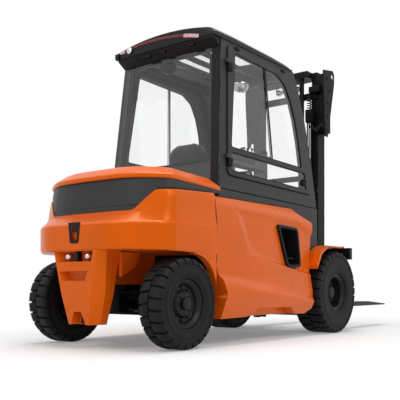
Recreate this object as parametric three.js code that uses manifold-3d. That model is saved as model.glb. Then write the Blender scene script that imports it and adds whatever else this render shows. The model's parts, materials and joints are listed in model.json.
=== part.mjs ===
// Electric counterbalance forklift with a closed cab and a two-stage mast.
//
// Millimetres, +Z up, +X forward, +Y to the driver's left. Lengths along X are measured from the
// rear axle, and the finished group is slid along X so that its origin lies under the middle of
// the whole machine, at floor level.

import * as THREE from "three";
import { mergeVertices } from "three/addons/utils/BufferGeometryUtils.js";
import Module from "manifold-3d";

const wasm = await Module();
wasm.setup();

// ---------------------------------------------------------------------------------------------
// Driving dimensions
// ---------------------------------------------------------------------------------------------

const SEAT_GAP = 0.3; // between two pieces that rest on each other
const RUN_GAP = 6; // between pieces that move past each other

const WHEELBASE = 2405;
const REAR_TYRE = { radius: 353, width: 220, bead: 190 };
const FRONT_TYRE = { radius: 418.5, width: 310, bead: 190 };
const REAR_TRACK = 1260; // between the middles of the two rear tyres
const FRONT_TRACK = 1262;

const TAIL_X = -490; // rearmost face of the counterweight
const ARCH_Z = 742; // lower edge of the counterweight over the rear wheels
const RIDGE_Z = 950; // widest line of the counterweight
const SHOULDER_Z = 1052; // foot of the dark rear band
const SHOULDER_TOP_Z = 1222; // top of the orange flank beside the band
const HOOD_Z = 1288; // underside of the rear hood along the flanks
const HOOD_TOP_Z = 1432;
const HOOD_FRONT_X = 500;
const HALF_WIDTH = 722; // widest half-width of the body
const SKIRT_Z = 216; // lower edge of the side panels
const SKIRT_HALF = 684;
const WEIGHT_FRONT_X = 385; // joint between counterweight and side panel
const PANEL_FRONT_X = WHEELBASE - 447;
const PANEL_TOP_Z = SHOULDER_TOP_Z;
const PANEL_INNER_Y = 622;

const CAB_REAR_X = 535; // rear face of the cab at its foot
const SILL_Z = 1295; // foot of the cab's side walls
const SILL_HALF = 631; // half-width of the cab there
const EAVES_Z = 2600; // top of the cab's side walls
const EAVES_HALF = 558;
const ROOF_TOP_Z = 2674;
const WALL = 46; // thickness of pillars and doors across the cab
const FLOOR_Z = 905; // top of the cab floor

const KINGPIN_Y = 500;
const STEER_PLATE_Z = 70; // from the axle's middle to the inner face of each axle plate
const STEER_PLATE = 24; // thickness of each plate
const TIE_ROD_X = 60;
const TIE_ROD = 14; // radius of the steering cylinder's rod
const TIE_ROD_DROP = 22; // how far it lies under the axle's middle
const ROD_HALF = 396; // from the middle to the rod's eyes
const SPINE_LOW_Z = 458; // chassis spine between the steering axle and the counterweight
const SPINE_TOP_Z = 500;

const MAST_PIVOT = { x: WHEELBASE + 157, z: 330, eye: 46 };
const TILT_PIN = { x: MAST_PIVOT.x + 48, z: 760 }; // rod eye of the tilt cylinders, on the mast
const TILT_FOOT = { x: WHEELBASE - 420, z: 700 }; // their foot pins, on the chassis
const MAST_BACK_X = MAST_PIVOT.x + 90; // rear face of the outer uprights
const MAST_DEPTH = 150; // depth of the outer uprights
const MAST_HALF = 420; // outer face of the outer uprights
const TILT_Y = MAST_HALF - 48; // middle plane of a tilt cylinder
const PIVOT_INNER_Y = MAST_HALF - 79; // between the chassis cheek and the mast's pivot lug
const CHEEK_Y = PIVOT_INNER_Y - 41; // inner face of a chassis cheek
const CHEEK = 36; // its thickness
const MAST_FOOT_Z = 118;
const MAST_TOP_Z = 2668;
const FLANGE = 20;
const INNER_TOP_Z = 2828;
const LIFT_AT_REST = 125; // how far the inner mast already stands out
const LIFT_LOW = 120; // what it can come down from there

const CARRIAGE_X = MAST_BACK_X + MAST_DEPTH + 66; // rear face of the carriage bars
const CARRIAGE_HALF = 690;
const CARRIAGE_BAR = { depth: 62, upperZ: 772, lowerZ: 318, height: 126 };
const FORK = { width: 140, thickness: 50, reach: 1132, outerY: 575, bottomZ: 250, tipThickness: 14 };
const FORK_TIP_X = CARRIAGE_X + CARRIAGE_BAR.depth + SEAT_GAP + FORK.thickness + FORK.reach;

// The origin: midway between the rearmost and the foremost point.
const ORIGIN_X = (TAIL_X + FORK_TIP_X) / 2;

// ---------------------------------------------------------------------------------------------
// Finishes
// ---------------------------------------------------------------------------------------------

const finish = (color, roughness, metalness) =>
  new THREE.MeshStandardMaterial({ color, roughness, metalness });
const ORANGE = finish(0xd8621f, 0.42, 0.1);
const CAST_ORANGE = finish(0xc95a1e, 0.5, 0.1);
const BLACK_STEEL = finish(0x1b1c1e, 0.5, 0.4);
const CAB_GREY = finish(0x36383b, 0.55, 0.15);
const TYRE_RUBBER = finish(0x232324, 0.9, 0);
const RIM_BLACK = finish(0x2a2a2c, 0.6, 0.3);
const BARE_STEEL = finish(0xb8bcc0, 0.25, 1);
const TINTED = new THREE.MeshStandardMaterial({
  color: 0x9aa39e, roughness: 0.08, metalness: 0, transparent: true, opacity: 0.35,
});
const SEAT_FABRIC = finish(0x2c2d2f, 0.95, 0);
const PLASTIC = finish(0x3d3f42, 0.7, 0);

// ---------------------------------------------------------------------------------------------
// Shape helpers
// ---------------------------------------------------------------------------------------------

/** A geometry with positions only and its shared corners merged. */
function bare(geometry) {
  const copy = geometry.clone();
  for (const name of Object.keys(copy.attributes)) {
    if (name !== "position") copy.deleteAttribute(name);
  }
  return mergeVertices(copy, 1e-4);
}

function toManifold(geometry) {
  const source = bare(geometry);
  return new wasm.Manifold(new wasm.Mesh({
    numProp: 3,
    vertProperties: Float32Array.from(source.attributes.position.array),
    triVerts: Uint32Array.from(source.index.array),
  }));
}

function fromManifold(manifold) {
  const mesh = manifold.getMesh();
  const geometry = new THREE.BufferGeometry();
  geometry.setAttribute("position", new THREE.BufferAttribute(mesh.vertProperties, 3));
  geometry.setIndex(new THREE.BufferAttribute(mesh.triVerts, 1));
  return geometry;
}

const join = (first, ...rest) =>
  fromManifold(rest.reduce((sum, next) => sum.add(toManifold(next)), toManifold(first)));
const cut = (first, ...rest) =>
  fromManifold(rest.reduce((sum, next) => sum.subtract(toManifold(next)), toManifold(first)));
const common = (first, second) => fromManifold(toManifold(first).intersect(toManifold(second)));

/** Extrudes an outline along an axis. Outline pairs are (x, z) for "y", (x, y) for "z", (y, z) for "x". */
function prism(axis, outline, from, to) {
  const shape = new THREE.Shape(outline.map(([a, b]) => new THREE.Vector2(a, b)));
  const geometry = new THREE.ExtrudeGeometry(shape, { depth: to - from, bevelEnabled: false });
  const basis = new THREE.Matrix4();
  if (axis === "x") {
    basis.makeBasis(new THREE.Vector3(0, 1, 0), new THREE.Vector3(0, 0, 1), new THREE.Vector3(1, 0, 0));
    basis.setPosition(from, 0, 0);
  } else if (axis === "y") {
    basis.makeBasis(new THREE.Vector3(1, 0, 0), new THREE.Vector3(0, 0, 1), new THREE.Vector3(0, -1, 0));
    basis.setPosition(0, to, 0);
  } else {
    basis.setPosition(0, 0, from);
  }
  return bare(geometry.applyMatrix4(basis));
}

function block(x0, x1, y0, y1, z0, z1) {
  const geometry = new THREE.BoxGeometry(x1 - x0, y1 - y0, z1 - z0);
  return bare(geometry.translate((x0 + x1) / 2, (y0 + y1) / 2, (z0 + z1) / 2));
}

/** A round bar between two points. */
function bar(from, to, radius, sides = 14) {
  const a = new THREE.Vector3(...from);
  const b = new THREE.Vector3(...to);
  const geometry = new THREE.CylinderGeometry(radius, radius, a.distanceTo(b), sides);
  const along = b.clone().sub(a).normalize();
  geometry.applyQuaternion(new THREE.Quaternion().setFromUnitVectors(new THREE.Vector3(0, 1, 0), along));
  const middle = a.add(b).multiplyScalar(0.5);
  return bare(geometry.translate(middle.x, middle.y, middle.z));
}

/** A round pipe between two points. */
const pipe = (from, to, outer, inner, sides = 24) => {
  const a = new THREE.Vector3(...from);
  const b = new THREE.Vector3(...to);
  const over = b.clone().sub(a).normalize();
  const start = a.clone().sub(over);
  const end = b.clone().add(over);
  return cut(bar(from, to, outer, sides), bar(start.toArray(), end.toArray(), inner, sides));
};

/** Twice the signed area of an outline; positive when it runs anticlockwise. */
const signedArea = (outline) => outline.reduce((sum, [x, y], i) => {
  const [u, v] = outline[(i + 1) % outline.length];
  return sum + x * v - u * y;
}, 0);

/** A closed body through flat rings of equal point count, stacked upwards along z. */
function loft(levels) {
  const rings = levels.map((ring) => (signedArea(ring) > 0 ? ring : [...ring].reverse()));
  const count = rings[0].length;
  const index = [];
  for (let level = 0; level + 1 < rings.length; level += 1) {
    for (let i = 0; i < count; i += 1) {
      const next = (i + 1) % count;
      const a = level * count + i;
      const b = level * count + next;
      index.push(a, b, b + count, a, b + count, a + count);
    }
  }
  const cap = (ring, first, upwards) => {
    const flat = ring.map(([x, y]) => new THREE.Vector2(x, y));
    for (const [a, b, c] of THREE.ShapeUtils.triangulateShape(flat, [])) {
      const turnsLeft = signedArea([ring[a], ring[b], ring[c]]) > 0;
      index.push(first + a, ...(turnsLeft === upwards ? [first + b, first + c] : [first + c, first + b]));
    }
  };
  cap(rings[0], 0, false);
  cap(rings.at(-1), (rings.length - 1) * count, true);
  const geometry = new THREE.BufferGeometry();
  geometry.setAttribute("position", new THREE.Float32BufferAttribute(rings.flat(2), 3));
  geometry.setIndex(index);
  return geometry;
}

/** A leaning post with a rectangular foot and head: [x0, x1, y0, y1, z] each. */
const post = (foot, head) => loft([foot, head].map(([x0, x1, y0, y1, z]) =>
  [[x0, y0, z], [x1, y0, z], [x1, y1, z], [x0, y1, z]]));

/** A body of revolution about an axis along Y, from (radius, offset) pairs. */
const turned = (profile, segments = 40) =>
  bare(new THREE.LatheGeometry(profile.map(([r, y]) => new THREE.Vector2(r, y)), segments));

/** The same piece on the machine's other side. */
function mirrored(geometry) {
  const copy = bare(geometry);
  const position = copy.attributes.position;
  for (let i = 0; i < position.count; i += 1) position.setY(i, -position.getY(i));
  const index = Array.from(copy.index.array);
  for (let i = 0; i < index.length; i += 3) [index[i], index[i + 1]] = [index[i + 1], index[i]];
  copy.setIndex(index);
  return copy;
}

/** Moves every side of an outline inwards by a distance. */
function inset(outline, distance) {
  const hand = Math.sign(signedArea(outline)) * distance;
  return outline.map((corner, i) => {
    const before = outline.at(i - 1);
    const after = outline[(i + 1) % outline.length];
    const first = new THREE.Vector2(corner[0] - before[0], corner[1] - before[1]).normalize();
    const second = new THREE.Vector2(after[0] - corner[0], after[1] - corner[1]).normalize();
    const lean = new THREE.Vector2(-first.y - second.y, first.x + second.x);
    const scale = (2 * hand) / lean.lengthSq();
    return [corner[0] + lean.x * scale, corner[1] + lean.y * scale];
  });
}

/** An outline with every corner rounded by an arc of a few points. */
function rounded(outline, radius, steps = 3) {
  return outline.flatMap((corner, i) => {
    const before = new THREE.Vector2(...outline.at(i - 1));
    const here = new THREE.Vector2(...corner);
    const after = new THREE.Vector2(...outline[(i + 1) % outline.length]);
    const reach = Math.min(radius, here.distanceTo(before) * 0.45, here.distanceTo(after) * 0.45);
    const start = here.clone().add(before.sub(here).setLength(reach));
    const end = here.clone().add(after.sub(here).setLength(reach));
    const arc = new THREE.QuadraticBezierCurve(start, here, end);
    return arc.getPoints(steps).map((p) => [p.x, p.y]);
  });
}

/** Leans a piece of the left cab wall inwards as it rises. */
const CAB_LEAN = (SILL_HALF - EAVES_HALF) / (EAVES_Z - SILL_Z);
function leaned(geometry) {
  const shear = new THREE.Matrix4().set(
    1, 0, 0, 0,
    0, 1, -CAB_LEAN, CAB_LEAN * SILL_Z,
    0, 0, 1, 0,
    0, 0, 0, 1,
  );
  return bare(geometry).applyMatrix4(shear);
}

const forklift = new THREE.Group();
forklift.position.x = -ORIGIN_X;

function add(name, geometry, material) {
  const mesh = new THREE.Mesh(geometry, material);
  mesh.name = name;
  forklift.add(mesh);
}

/** Adds the left piece and its mirror image on the right. */
function addPair(name, left, material) {
  add(`${name}_left`, left, material);
  add(`${name}_right`, mirrored(left), material);
}

// ---------------------------------------------------------------------------------------------
// Counterweight, band and hood
// ---------------------------------------------------------------------------------------------

/** Half of the body's plan outline, from the rear middle round to the front of the flank. */
function tailHalf(rearX, half, frontX, corner) {
  return [
    [rearX + 3, half * 0.34],
    [rearX + 15, half * 0.5],
    [rearX + 70 * corner, half * 0.665],
    [rearX + 160 * corner, half * 0.82],
    [rearX + 255 * corner, half * 0.95],
    [rearX + 360 * corner, half],
    [frontX, half],
  ];
}

function tailRing(z, rearX, half, frontX = WEIGHT_FRONT_X, corner = 1) {
  const left = tailHalf(rearX, half, frontX, corner);
  const right = left.map(([x, y]) => [x, -y]);
  return [...left.reverse(), ...right].map(([x, y]) => [x, y, z]);
}

const BAND_FACE_X = TAIL_X + 190; // rear face of the band's foot
const BAND_CORNER = 0.42; // how far the corners of band and hood draw in, against the tail's
const FLANK_TOP_HALF = HALF_WIDTH - 32;
const WEB_HALF = 128; // casting over the steering axle
const TAIL_FOOT_Z = 190;

function tailColumn() {
  const ring = (z, rearX, flat, sideX, half, frontX) => [
    [frontX, half, z], [sideX, half, z], [rearX, flat, z],
    [rearX, -flat, z], [sideX, -half, z], [frontX, -half, z],
  ];
  return loft([
    ring(TAIL_FOOT_Z, TAIL_X + 40, 108, TAIL_X + 108, 170, -310),
    ring(425, TAIL_X + 14, 165, TAIL_X + 90, 244, -310),
    ring(ARCH_Z + 30, TAIL_X, 240, TAIL_X + 52, 292, -290),
  ]);
}

function counterweight() {
  const bulge = loft([
    tailRing(ARCH_Z, TAIL_X + 12, HALF_WIDTH - 8),
    tailRing(ARCH_Z + 26, TAIL_X, HALF_WIDTH),
    tailRing(RIDGE_Z, TAIL_X, HALF_WIDTH),
    tailRing(RIDGE_Z + 26, TAIL_X + 26, HALF_WIDTH - 6),
    tailRing(SHOULDER_Z, BAND_FACE_X - 12, HALF_WIDTH - 16, WEIGHT_FRONT_X, BAND_CORNER),
  ]);
  const flank = loft([
    tailRing(SHOULDER_Z - 10, BAND_FACE_X - 8, HALF_WIDTH - 18, WEIGHT_FRONT_X, BAND_CORNER),
    tailRing(SHOULDER_TOP_Z, BAND_FACE_X + 14, FLANK_TOP_HALF, WEIGHT_FRONT_X, BAND_CORNER),
  ]);
  const web = block(-320, 300, -WEB_HALF, WEB_HALF, SPINE_TOP_Z + SEAT_GAP, ARCH_Z + 20);
  const lampRecess = loft([
    [[TAIL_X - 5, 215, 668], [TAIL_X + 70, 165, 668], [TAIL_X + 70, -150, 668], [TAIL_X - 5, -180, 668]],
    [[TAIL_X - 5, 240, 752], [TAIL_X + 70, 180, 752], [TAIL_X + 70, -165, 752], [TAIL_X - 5, -205, 752]],
  ]);
  const stepRecess = loft([
    [[TAIL_X - 5, 170, 520], [TAIL_X + 75, 120, 520], [TAIL_X + 75, -85, 520], [TAIL_X - 5, -115, 520]],
    [[TAIL_X - 5, 195, 592], [TAIL_X + 75, 135, 592], [TAIL_X + 75, -100, 592], [TAIL_X - 5, -140, 592]],
  ]);
  const towNotch = prism("x", [[-82, TAIL_FOOT_Z - 5], [82, TAIL_FOOT_Z - 5], [40, 290], [-40, 290]],
    TAIL_X - 5, TAIL_X + 118);
  const latchSeat = prism("x", latchOutline(6), TAIL_X - 5, TAIL_X + 22);
  const bandRecess = prism("x", bandOutline(-SEAT_GAP), TAIL_X - 5, BAND_FACE_X + BAND_DEPTH + SEAT_GAP);
  return cut(join(bulge, flank, tailColumn(), web),
    lampRecess, stepRecess, towNotch, latchSeat, bandRecess);
}

/** The band seen from behind; a positive trim makes it smaller. */
const BAND_DEPTH = 60;
function bandOutline(trim) {
  return inset([
    [-430, SHOULDER_Z], [430, SHOULDER_Z], [600, SHOULDER_TOP_Z], [760, SHOULDER_TOP_Z],
    [760, HOOD_Z + 60], [-760, HOOD_Z + 60], [-760, SHOULDER_TOP_Z], [-600, SHOULDER_TOP_Z],
  ], trim);
}

/** Dark band between the counterweight's shoulder and the hood; its blank face looks backwards. */
function rearBand() {
  const thick = loft([
    tailRing(SHOULDER_Z, BAND_FACE_X, HALF_WIDTH - 20, WEIGHT_FRONT_X, BAND_CORNER),
    tailRing(SHOULDER_TOP_Z + SEAT_GAP, BAND_FACE_X + 18, FLANK_TOP_HALF - 4, WEIGHT_FRONT_X, BAND_CORNER),
  ]);
  const face = common(thick, prism("x", bandOutline(0), TAIL_X, BAND_FACE_X + BAND_DEPTH));
  const strip = loft([
    tailRing(SHOULDER_TOP_Z + SEAT_GAP, BAND_FACE_X + 18, FLANK_TOP_HALF - 10, HOOD_FRONT_X, BAND_CORNER),
    tailRing(HOOD_Z, BAND_FACE_X + 26, FLANK_TOP_HALF - 24, HOOD_FRONT_X, BAND_CORNER),
  ]);
  return join(face, strip);
}

function rearHood() {
  return loft([
    tailRing(HOOD_Z + SEAT_GAP, BAND_FACE_X + 4, FLANK_TOP_HALF - 18, HOOD_FRONT_X, BAND_CORNER),
    tailRing(HOOD_Z + 42, BAND_FACE_X + 4, FLANK_TOP_HALF - 22, HOOD_FRONT_X - 4, BAND_CORNER),
    tailRing(HOOD_Z + 108, BAND_FACE_X + 70, FLANK_TOP_HALF - 82, HOOD_FRONT_X - 50, BAND_CORNER),
    tailRing(HOOD_TOP_Z, BAND_FACE_X + 170, FLANK_TOP_HALF - 190, HOOD_FRONT_X - 56, BAND_CORNER),
  ]);
}

const latchOutline = (grow) => {
  const tall = 152;
  const mid = 898;
  return [
    [-34 - grow, mid - tall / 2 - grow], [34 + grow, mid - tall / 2 - grow],
    [46 + grow, mid + tall / 2 + grow], [-46 - grow, mid + tall / 2 + grow],
  ];
};

/** Black frame round the tow-pin release in the middle of the tail. */
function towFrame() {
  const outer = prism("x", latchOutline(5.7), TAIL_X - SEAT_GAP, TAIL_X + 21.7);
  const hole = prism("x", inset(latchOutline(5.7), 22), TAIL_X - 10, TAIL_X + 16);
  return cut(outer, hole);
}

// ---------------------------------------------------------------------------------------------
// Side panels, fenders and chassis
// ---------------------------------------------------------------------------------------------

/** The side panel seen from the side. */
const PANEL_OUTLINE = [
  [WEIGHT_FRONT_X + 4, PANEL_TOP_Z], [WEIGHT_FRONT_X + 4, 655], [462, 440], [420, SKIRT_Z + 4],
  [800, SKIRT_Z + 10], [965, 300], [1515, 290], [1605, SKIRT_Z + 8],
  [PANEL_FRONT_X - 168, SKIRT_Z + 4], [PANEL_FRONT_X - 40, 268], [PANEL_FRONT_X, 372], [PANEL_FRONT_X, 735],
  [1996, 1112], [1660, PANEL_TOP_Z],
];

/** Steps into the cab, cut through the side panel. */
const STEP_OUTLINE = [[1366, 1025], [1672, 1012], [1728, 690], [1522, 684]];
const STEP_RIM = 26;
const STEP_DEPTH = 190;

function sidePanel() {
  const blank = prism("y", PANEL_OUTLINE, PANEL_INNER_Y, HALF_WIDTH + 20);
  const section = prism("x", [
    [PANEL_INNER_Y - 10, SKIRT_Z - 10], [SKIRT_HALF, SKIRT_Z - 10], [SKIRT_HALF + 4, SKIRT_Z + 4],
    [HALF_WIDTH + 10, 402], [HALF_WIDTH + 6, 452], [HALF_WIDTH - 14, 562], [HALF_WIDTH - 4, 950],
    [FLANK_TOP_HALF, PANEL_TOP_Z], [FLANK_TOP_HALF, PANEL_TOP_Z + 10], [PANEL_INNER_Y - 10, PANEL_TOP_Z + 10],
  ], 300, 2100);
  const hollow = block(520, 1900, PANEL_INNER_Y - 1, PANEL_INNER_Y + 30, 330, PANEL_TOP_Z - 40);
  const frontField = prism("y", [[655, PANEL_TOP_Z + 20], [700, 1080], [874, 754], [2100, 590],
    [2100, PANEL_TOP_Z + 20]], HALF_WIDTH - 14, HALF_WIDTH + 30);
  const step = prism("y", rounded(inset(STEP_OUTLINE, -STEP_RIM), 45), 500, 900);
  const soft = common(blank, section);
  return cut(soft, hollow, frontField, step);
}

/** Black rim and box of the step recess. */
function stepBox() {
  const outer = prism("y", rounded(inset(STEP_OUTLINE, -STEP_RIM + SEAT_GAP), 45),
    HALF_WIDTH - STEP_DEPTH, HALF_WIDTH - 4);
  const inner = prism("y", rounded(STEP_OUTLINE, 30), HALF_WIDTH - STEP_DEPTH + 12, HALF_WIDTH + 10);
  return cut(outer, inner);
}

const FENDER_TOP_Z = 892;
const FENDER_PATH = [[WHEELBASE + 107, FENDER_TOP_Z], [WHEELBASE - 225, FENDER_TOP_Z], [WHEELBASE - 385, 815],
  [PANEL_FRONT_X + 20, 735], [PANEL_FRONT_X - 58, 600], [PANEL_FRONT_X - 74, 470]];
function frontFender() {
  const thickness = 16;
  const inner = [[PANEL_FRONT_X - 52, 470], [PANEL_FRONT_X - 36, 592], [PANEL_FRONT_X + 42, 722],
    [WHEELBASE - 355, 797], [WHEELBASE - 215, FENDER_TOP_Z - thickness],
    [WHEELBASE + 107, FENDER_TOP_Z - thickness]];
  const sheet = prism("y", [...FENDER_PATH, ...inner], RAIL_HALF + RUN_GAP, 786);
  const clearPanel = block(PANEL_FRONT_X - 158, PANEL_FRONT_X + SEAT_GAP, PANEL_INNER_Y - 8, 800, 300, 1000);
  return cut(sheet, clearPanel);
}

const AXLE_Z = FRONT_TYRE.radius;
const HOUSING = 92; // radius of the drive axle's housing
const RAIL_HALF = SILL_HALF - 111;
const DECK_Z = 1160; // underside of the deck over the battery

/** A pair of limits on one side of the machine, in rising order. */
const span = (side, a, b) => [Math.min(side * a, side * b), Math.max(side * a, side * b)];

/** Welded chassis: side rails, cross members, floor and the mast's pivot cheeks. */
function chassisFrame() {
  const railEnd = WHEELBASE - 555;
  const postX = 1800; // cross member that carries the cab floor
  const { x: pivotX, z: pivotZ } = MAST_PIVOT;
  const cheek = [[railEnd - 20, 262], [pivotX - 262, 262], [pivotX - 62, pivotZ - 50],
    [pivotX + 44, pivotZ - 42], [pivotX + 44, pivotZ + 42], [pivotX - 42, 520], [pivotX - 162, 600],
    [railEnd - 20, 640]];
  const lug = [[TILT_FOOT.x - 60, 630], [TILT_FOOT.x + 60, 630], [TILT_FOOT.x + 22, TILT_FOOT.z + 30],
    [TILT_FOOT.x - 22, TILT_FOOT.z + 30]];
  const parts = [];
  for (const side of [-1, 1]) {
    parts.push(block(470, railEnd, ...span(side, RAIL_HALF - 70, RAIL_HALF), 262, 420));
    parts.push(block(470, railEnd, ...span(side, RAIL_HALF - 50, PANEL_INNER_Y - 1), 262, 286));
    parts.push(prism("y", cheek, ...span(side, CHEEK_Y, CHEEK_Y + CHEEK)));
    parts.push(bar([pivotX, side * (CHEEK_Y + 10), pivotZ], [pivotX, side * (MAST_HALF - FLANGE - 2), pivotZ],
      30, 20));
    parts.push(prism("y", lug, ...span(side, CHEEK_Y, CHEEK_Y + 22)));
    parts.push(bar([TILT_FOOT.x, side * (CHEEK_Y + 5), TILT_FOOT.z],
      [TILT_FOOT.x, side * (TILT_Y + 30), TILT_FOOT.z], 16, 14));
  }
  parts.push(block(470, railEnd, -RAIL_HALF, RAIL_HALF, 262, 286));
  parts.push(block(470, 560, -RAIL_HALF, RAIL_HALF, 262, DECK_Z - SEAT_GAP));
  parts.push(block(postX, postX + 50, -RAIL_HALF, RAIL_HALF, 262, FLOOR_Z - 20));
  parts.push(block(-60, 480, -WEB_HALF + 10, WEB_HALF - 10, SPINE_LOW_Z, SPINE_TOP_Z));
  parts.push(block(1380, 2240, -RAIL_HALF, RAIL_HALF, FLOOR_Z - 20, FLOOR_Z));
  const axleSeat = bar([WHEELBASE, -400, AXLE_Z], [WHEELBASE, 400, AXLE_Z], HOUSING + SEAT_GAP, 20);
  return cut(join(...parts), axleSeat);
}

function batteryBlock() {
  return block(570, 1360, -RAIL_HALF + 80, RAIL_HALF - 80, 286 + SEAT_GAP, 1150);
}

/** Deck over the battery that carries the seat. */
function seatDeck() {
  return join(block(500, 1400, -PANEL_INNER_Y + 10, PANEL_INNER_Y - 10, DECK_Z, DECK_Z + 30),
    block(1370, 1400, -500, 500, FLOOR_Z + SEAT_GAP, DECK_Z + 5));
}

// ---------------------------------------------------------------------------------------------
// Cab
// ---------------------------------------------------------------------------------------------

/** Height of the cab wall's foot, which falls slightly to the front. */
const sillZ = (x) => SILL_Z - (x - CAB_REAR_X) * 0.0172;

/** Rear face of the cab, which leans forwards as it rises. */
const REAR_LEAN = 0.0955;
const cabRearX = (z) => CAB_REAR_X + (z - SILL_Z) * REAR_LEAN;

const CAB_OUTLINE = [
  [CAB_REAR_X, SILL_Z], [2208, sillZ(2208)], [2206, 1363], [2149, 1725], [2063, 2109], [1970, 2394],
  [1889, 2570], [1872, EAVES_Z], [cabRearX(EAVES_Z), EAVES_Z],
];
const DOOR_OUTLINE = [
  [653, 1430], [2098, 1402], [2052, 1725], [1968, 2105], [1880, 2362], [1806, 2478], [1700, 2548],
  [742, 2560],
];
const DOOR_GLASS = [
  [772, 1690], [1936, 1650], [1899, 1858], [1810, 2150], [1716, 2336], [1627, 2432], [1500, 2482],
  [860, 2496],
];
const DOOR_LOW_GLASS = [[722, 1470], [2004, 1436], [1986, 1592], [734, 1602]];
const DOOR_GAP = 8;
const PILLAR_WIDTH = 84; // of the cab's side walls, measured across the cab

// Door hinges: the pin line stands outside the door's rear edge and rakes with it.
const DOOR_OUT = 16; // how far the door stands out from the cab wall
const DOOR_RAKE = (742 - 653) / (2560 - 1430);
const hingeX = (z) => 650 + (z - 1430) * DOOR_RAKE;
const HINGE_Y = SILL_HALF + DOOR_OUT + 12;
const HINGES = [1500, 2330]; // feet of the two hinges
const HINGE_TALL = 70;

/** Side wall of the cab, left: pillars, sill and eaves round the door opening, with hinge knuckles. */
function cabSide() {
  const wall = prism("y", CAB_OUTLINE, SILL_HALF - PILLAR_WIDTH, SILL_HALF);
  const doorway = prism("y", inset(rounded(DOOR_OUTLINE, 50), -DOOR_GAP), SILL_HALF - PILLAR_WIDTH - 10,
    SILL_HALF + 10);
  const knuckles = HINGES.flatMap((foot) => {
    const low = foot + HINGE_TALL + 0.8;
    const x = hingeX(low);
    return [block(x - 33, x - 5, SILL_HALF - 5, HINGE_Y + 2, low, low + 28),
      block(x - 6, x + 6, HINGE_Y - 9, HINGE_Y + 2, low, low + 28)];
  });
  return leaned(join(cut(wall, doorway), ...knuckles));
}

/** Inner half-width of the cab between its side walls, less the seating gap. */
const betweenWalls = (z) => SILL_HALF - PILLAR_WIDTH - CAB_LEAN * (z - SILL_Z) - SEAT_GAP;

/** A bar across the cab from wall to wall. */
const crossBar = (x0, x1, z0, z1) => loft([z0, z1].map((z) => {
  const half = betweenWalls(z);
  return [[x0, half, z], [x0, -half, z], [x1, -half, z], [x1, half, z]];
}));

const REAR_RAIL = { low: 1545, high: 2512 }; // clear height of the rear window
const ROOF_FRAME_Z = 2530;

/** Rear wall frame: a low panel and a header joined by two slim stiles. */
function rearFrame() {
  const lean = (z) => cabRearX(z) + 8;
  const level = (z) => {
    const half = betweenWalls(z);
    return [[lean(z), half, z], [lean(z), -half, z], [lean(z) + 46, -half, z], [lean(z) + 46, half, z]];
  };
  const panel = loft([level(SILL_Z), level(ROOF_FRAME_Z - SEAT_GAP)]);
  const trim = 26;
  const opening = loft([REAR_RAIL.low, REAR_RAIL.high].map((z) => {
    const half = betweenWalls(z) - trim;
    const [back, front] = [lean(z) - 20, lean(z) + 80];
    return [[back, half, z], [back, -half, z], [front, -half, z], [front, half, z]];
  }));
  return cut(panel, opening);
}

/** Roof frame: cross members front and rear with four bars between them. */
function roofFrame() {
  const rear = cabRearX(ROOF_FRAME_Z);
  const parts = [[rear + 8, rear + 90], [1770, 1860]].map(([back, front]) =>
    crossBar(back, front, ROOF_FRAME_Z, EAVES_Z));
  for (const y of [-270, -90, 90, 270]) {
    parts.push(block(rear + 40, 1800, y - 18, y + 18, ROOF_FRAME_Z + 10, ROOF_FRAME_Z + 50));
  }
  return join(...parts);
}

const ROOF_REAR_X = 648;
const ROOF_WINDOW = [800, 1700, -400, 400];

/** Roof shell with a long window between its rims. */
function roofPanel() {
  const rim = (z, grow) => [
    [ROOF_REAR_X - grow, EAVES_HALF + grow, z], [ROOF_REAR_X - grow, -EAVES_HALF - grow, z],
    [1600, -EAVES_HALF - grow, z], [1850 + grow, -EAVES_HALF + 30 - grow, z], [1925 + grow, -420, z],
    [1925 + grow, 420, z], [1850 + grow, EAVES_HALF - 30 + grow, z], [1600, EAVES_HALF + grow, z],
  ];
  const shell = loft([rim(EAVES_Z + SEAT_GAP, 6), rim(EAVES_Z + 44, 8), rim(ROOF_TOP_Z, -50)]);
  return cut(shell, block(...ROOF_WINDOW, EAVES_Z - 100, ROOF_TOP_Z + 100));
}

function roofWindow() {
  const [x0, x1, y0, y1] = ROOF_WINDOW;
  return block(x0 + SEAT_GAP, x1 - SEAT_GAP, y0 + SEAT_GAP, y1 - SEAT_GAP, EAVES_Z + 20, EAVES_Z + 30);
}

/** Door leaf, left: a frame with two windows. */
function doorFrame() {
  const leaf = prism("y", rounded(DOOR_OUTLINE, 50), SILL_HALF + DOOR_OUT - WALL, SILL_HALF + DOOR_OUT);
  const windows = [DOOR_GLASS, DOOR_LOW_GLASS].map((outline) =>
    prism("y", rounded(outline, 34), SILL_HALF - WALL - 40, SILL_HALF + 60));
  const hinges = HINGES.map((foot) =>
    block(hingeX(foot) - 8, hingeX(foot) + 48, HINGE_Y - 18, HINGE_Y + 2, foot, foot + HINGE_TALL));
  return leaned(join(cut(leaf, ...windows), ...hinges));
}

const GLASS_OUT = 8;
const pane = (outline) => leaned(prism("y", inset(rounded(outline, 34), SEAT_GAP),
  SILL_HALF + DOOR_OUT - GLASS_OUT - 6, SILL_HALF + DOOR_OUT - GLASS_OUT));

/** Rear window, let into the rear frame. */
function rearWindow() {
  const level = (z) => {
    const half = betweenWalls(z) - 26 - SEAT_GAP;
    const x = cabRearX(z) + 24;
    return [[x, half, z], [x, -half, z], [x + 6, -half, z], [x + 6, half, z]];
  };
  return loft([level(REAR_RAIL.low + SEAT_GAP), level(REAR_RAIL.high - SEAT_GAP)]);
}

/** Curved windscreen between the front pillars. */
function windscreen() {
  const level = (x, z) => {
    const half = betweenWalls(z);
    return [[x, half, z], [x, -half, z], [x + 6, -half, z], [x + 6, half, z]];
  };
  return loft([level(2176, 1264 + SEAT_GAP), level(2172, 1363), level(2116, 1725), level(2030, 2109),
    level(1940, 2394), level(1868, ROOF_FRAME_Z + 20)]);
}

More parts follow.
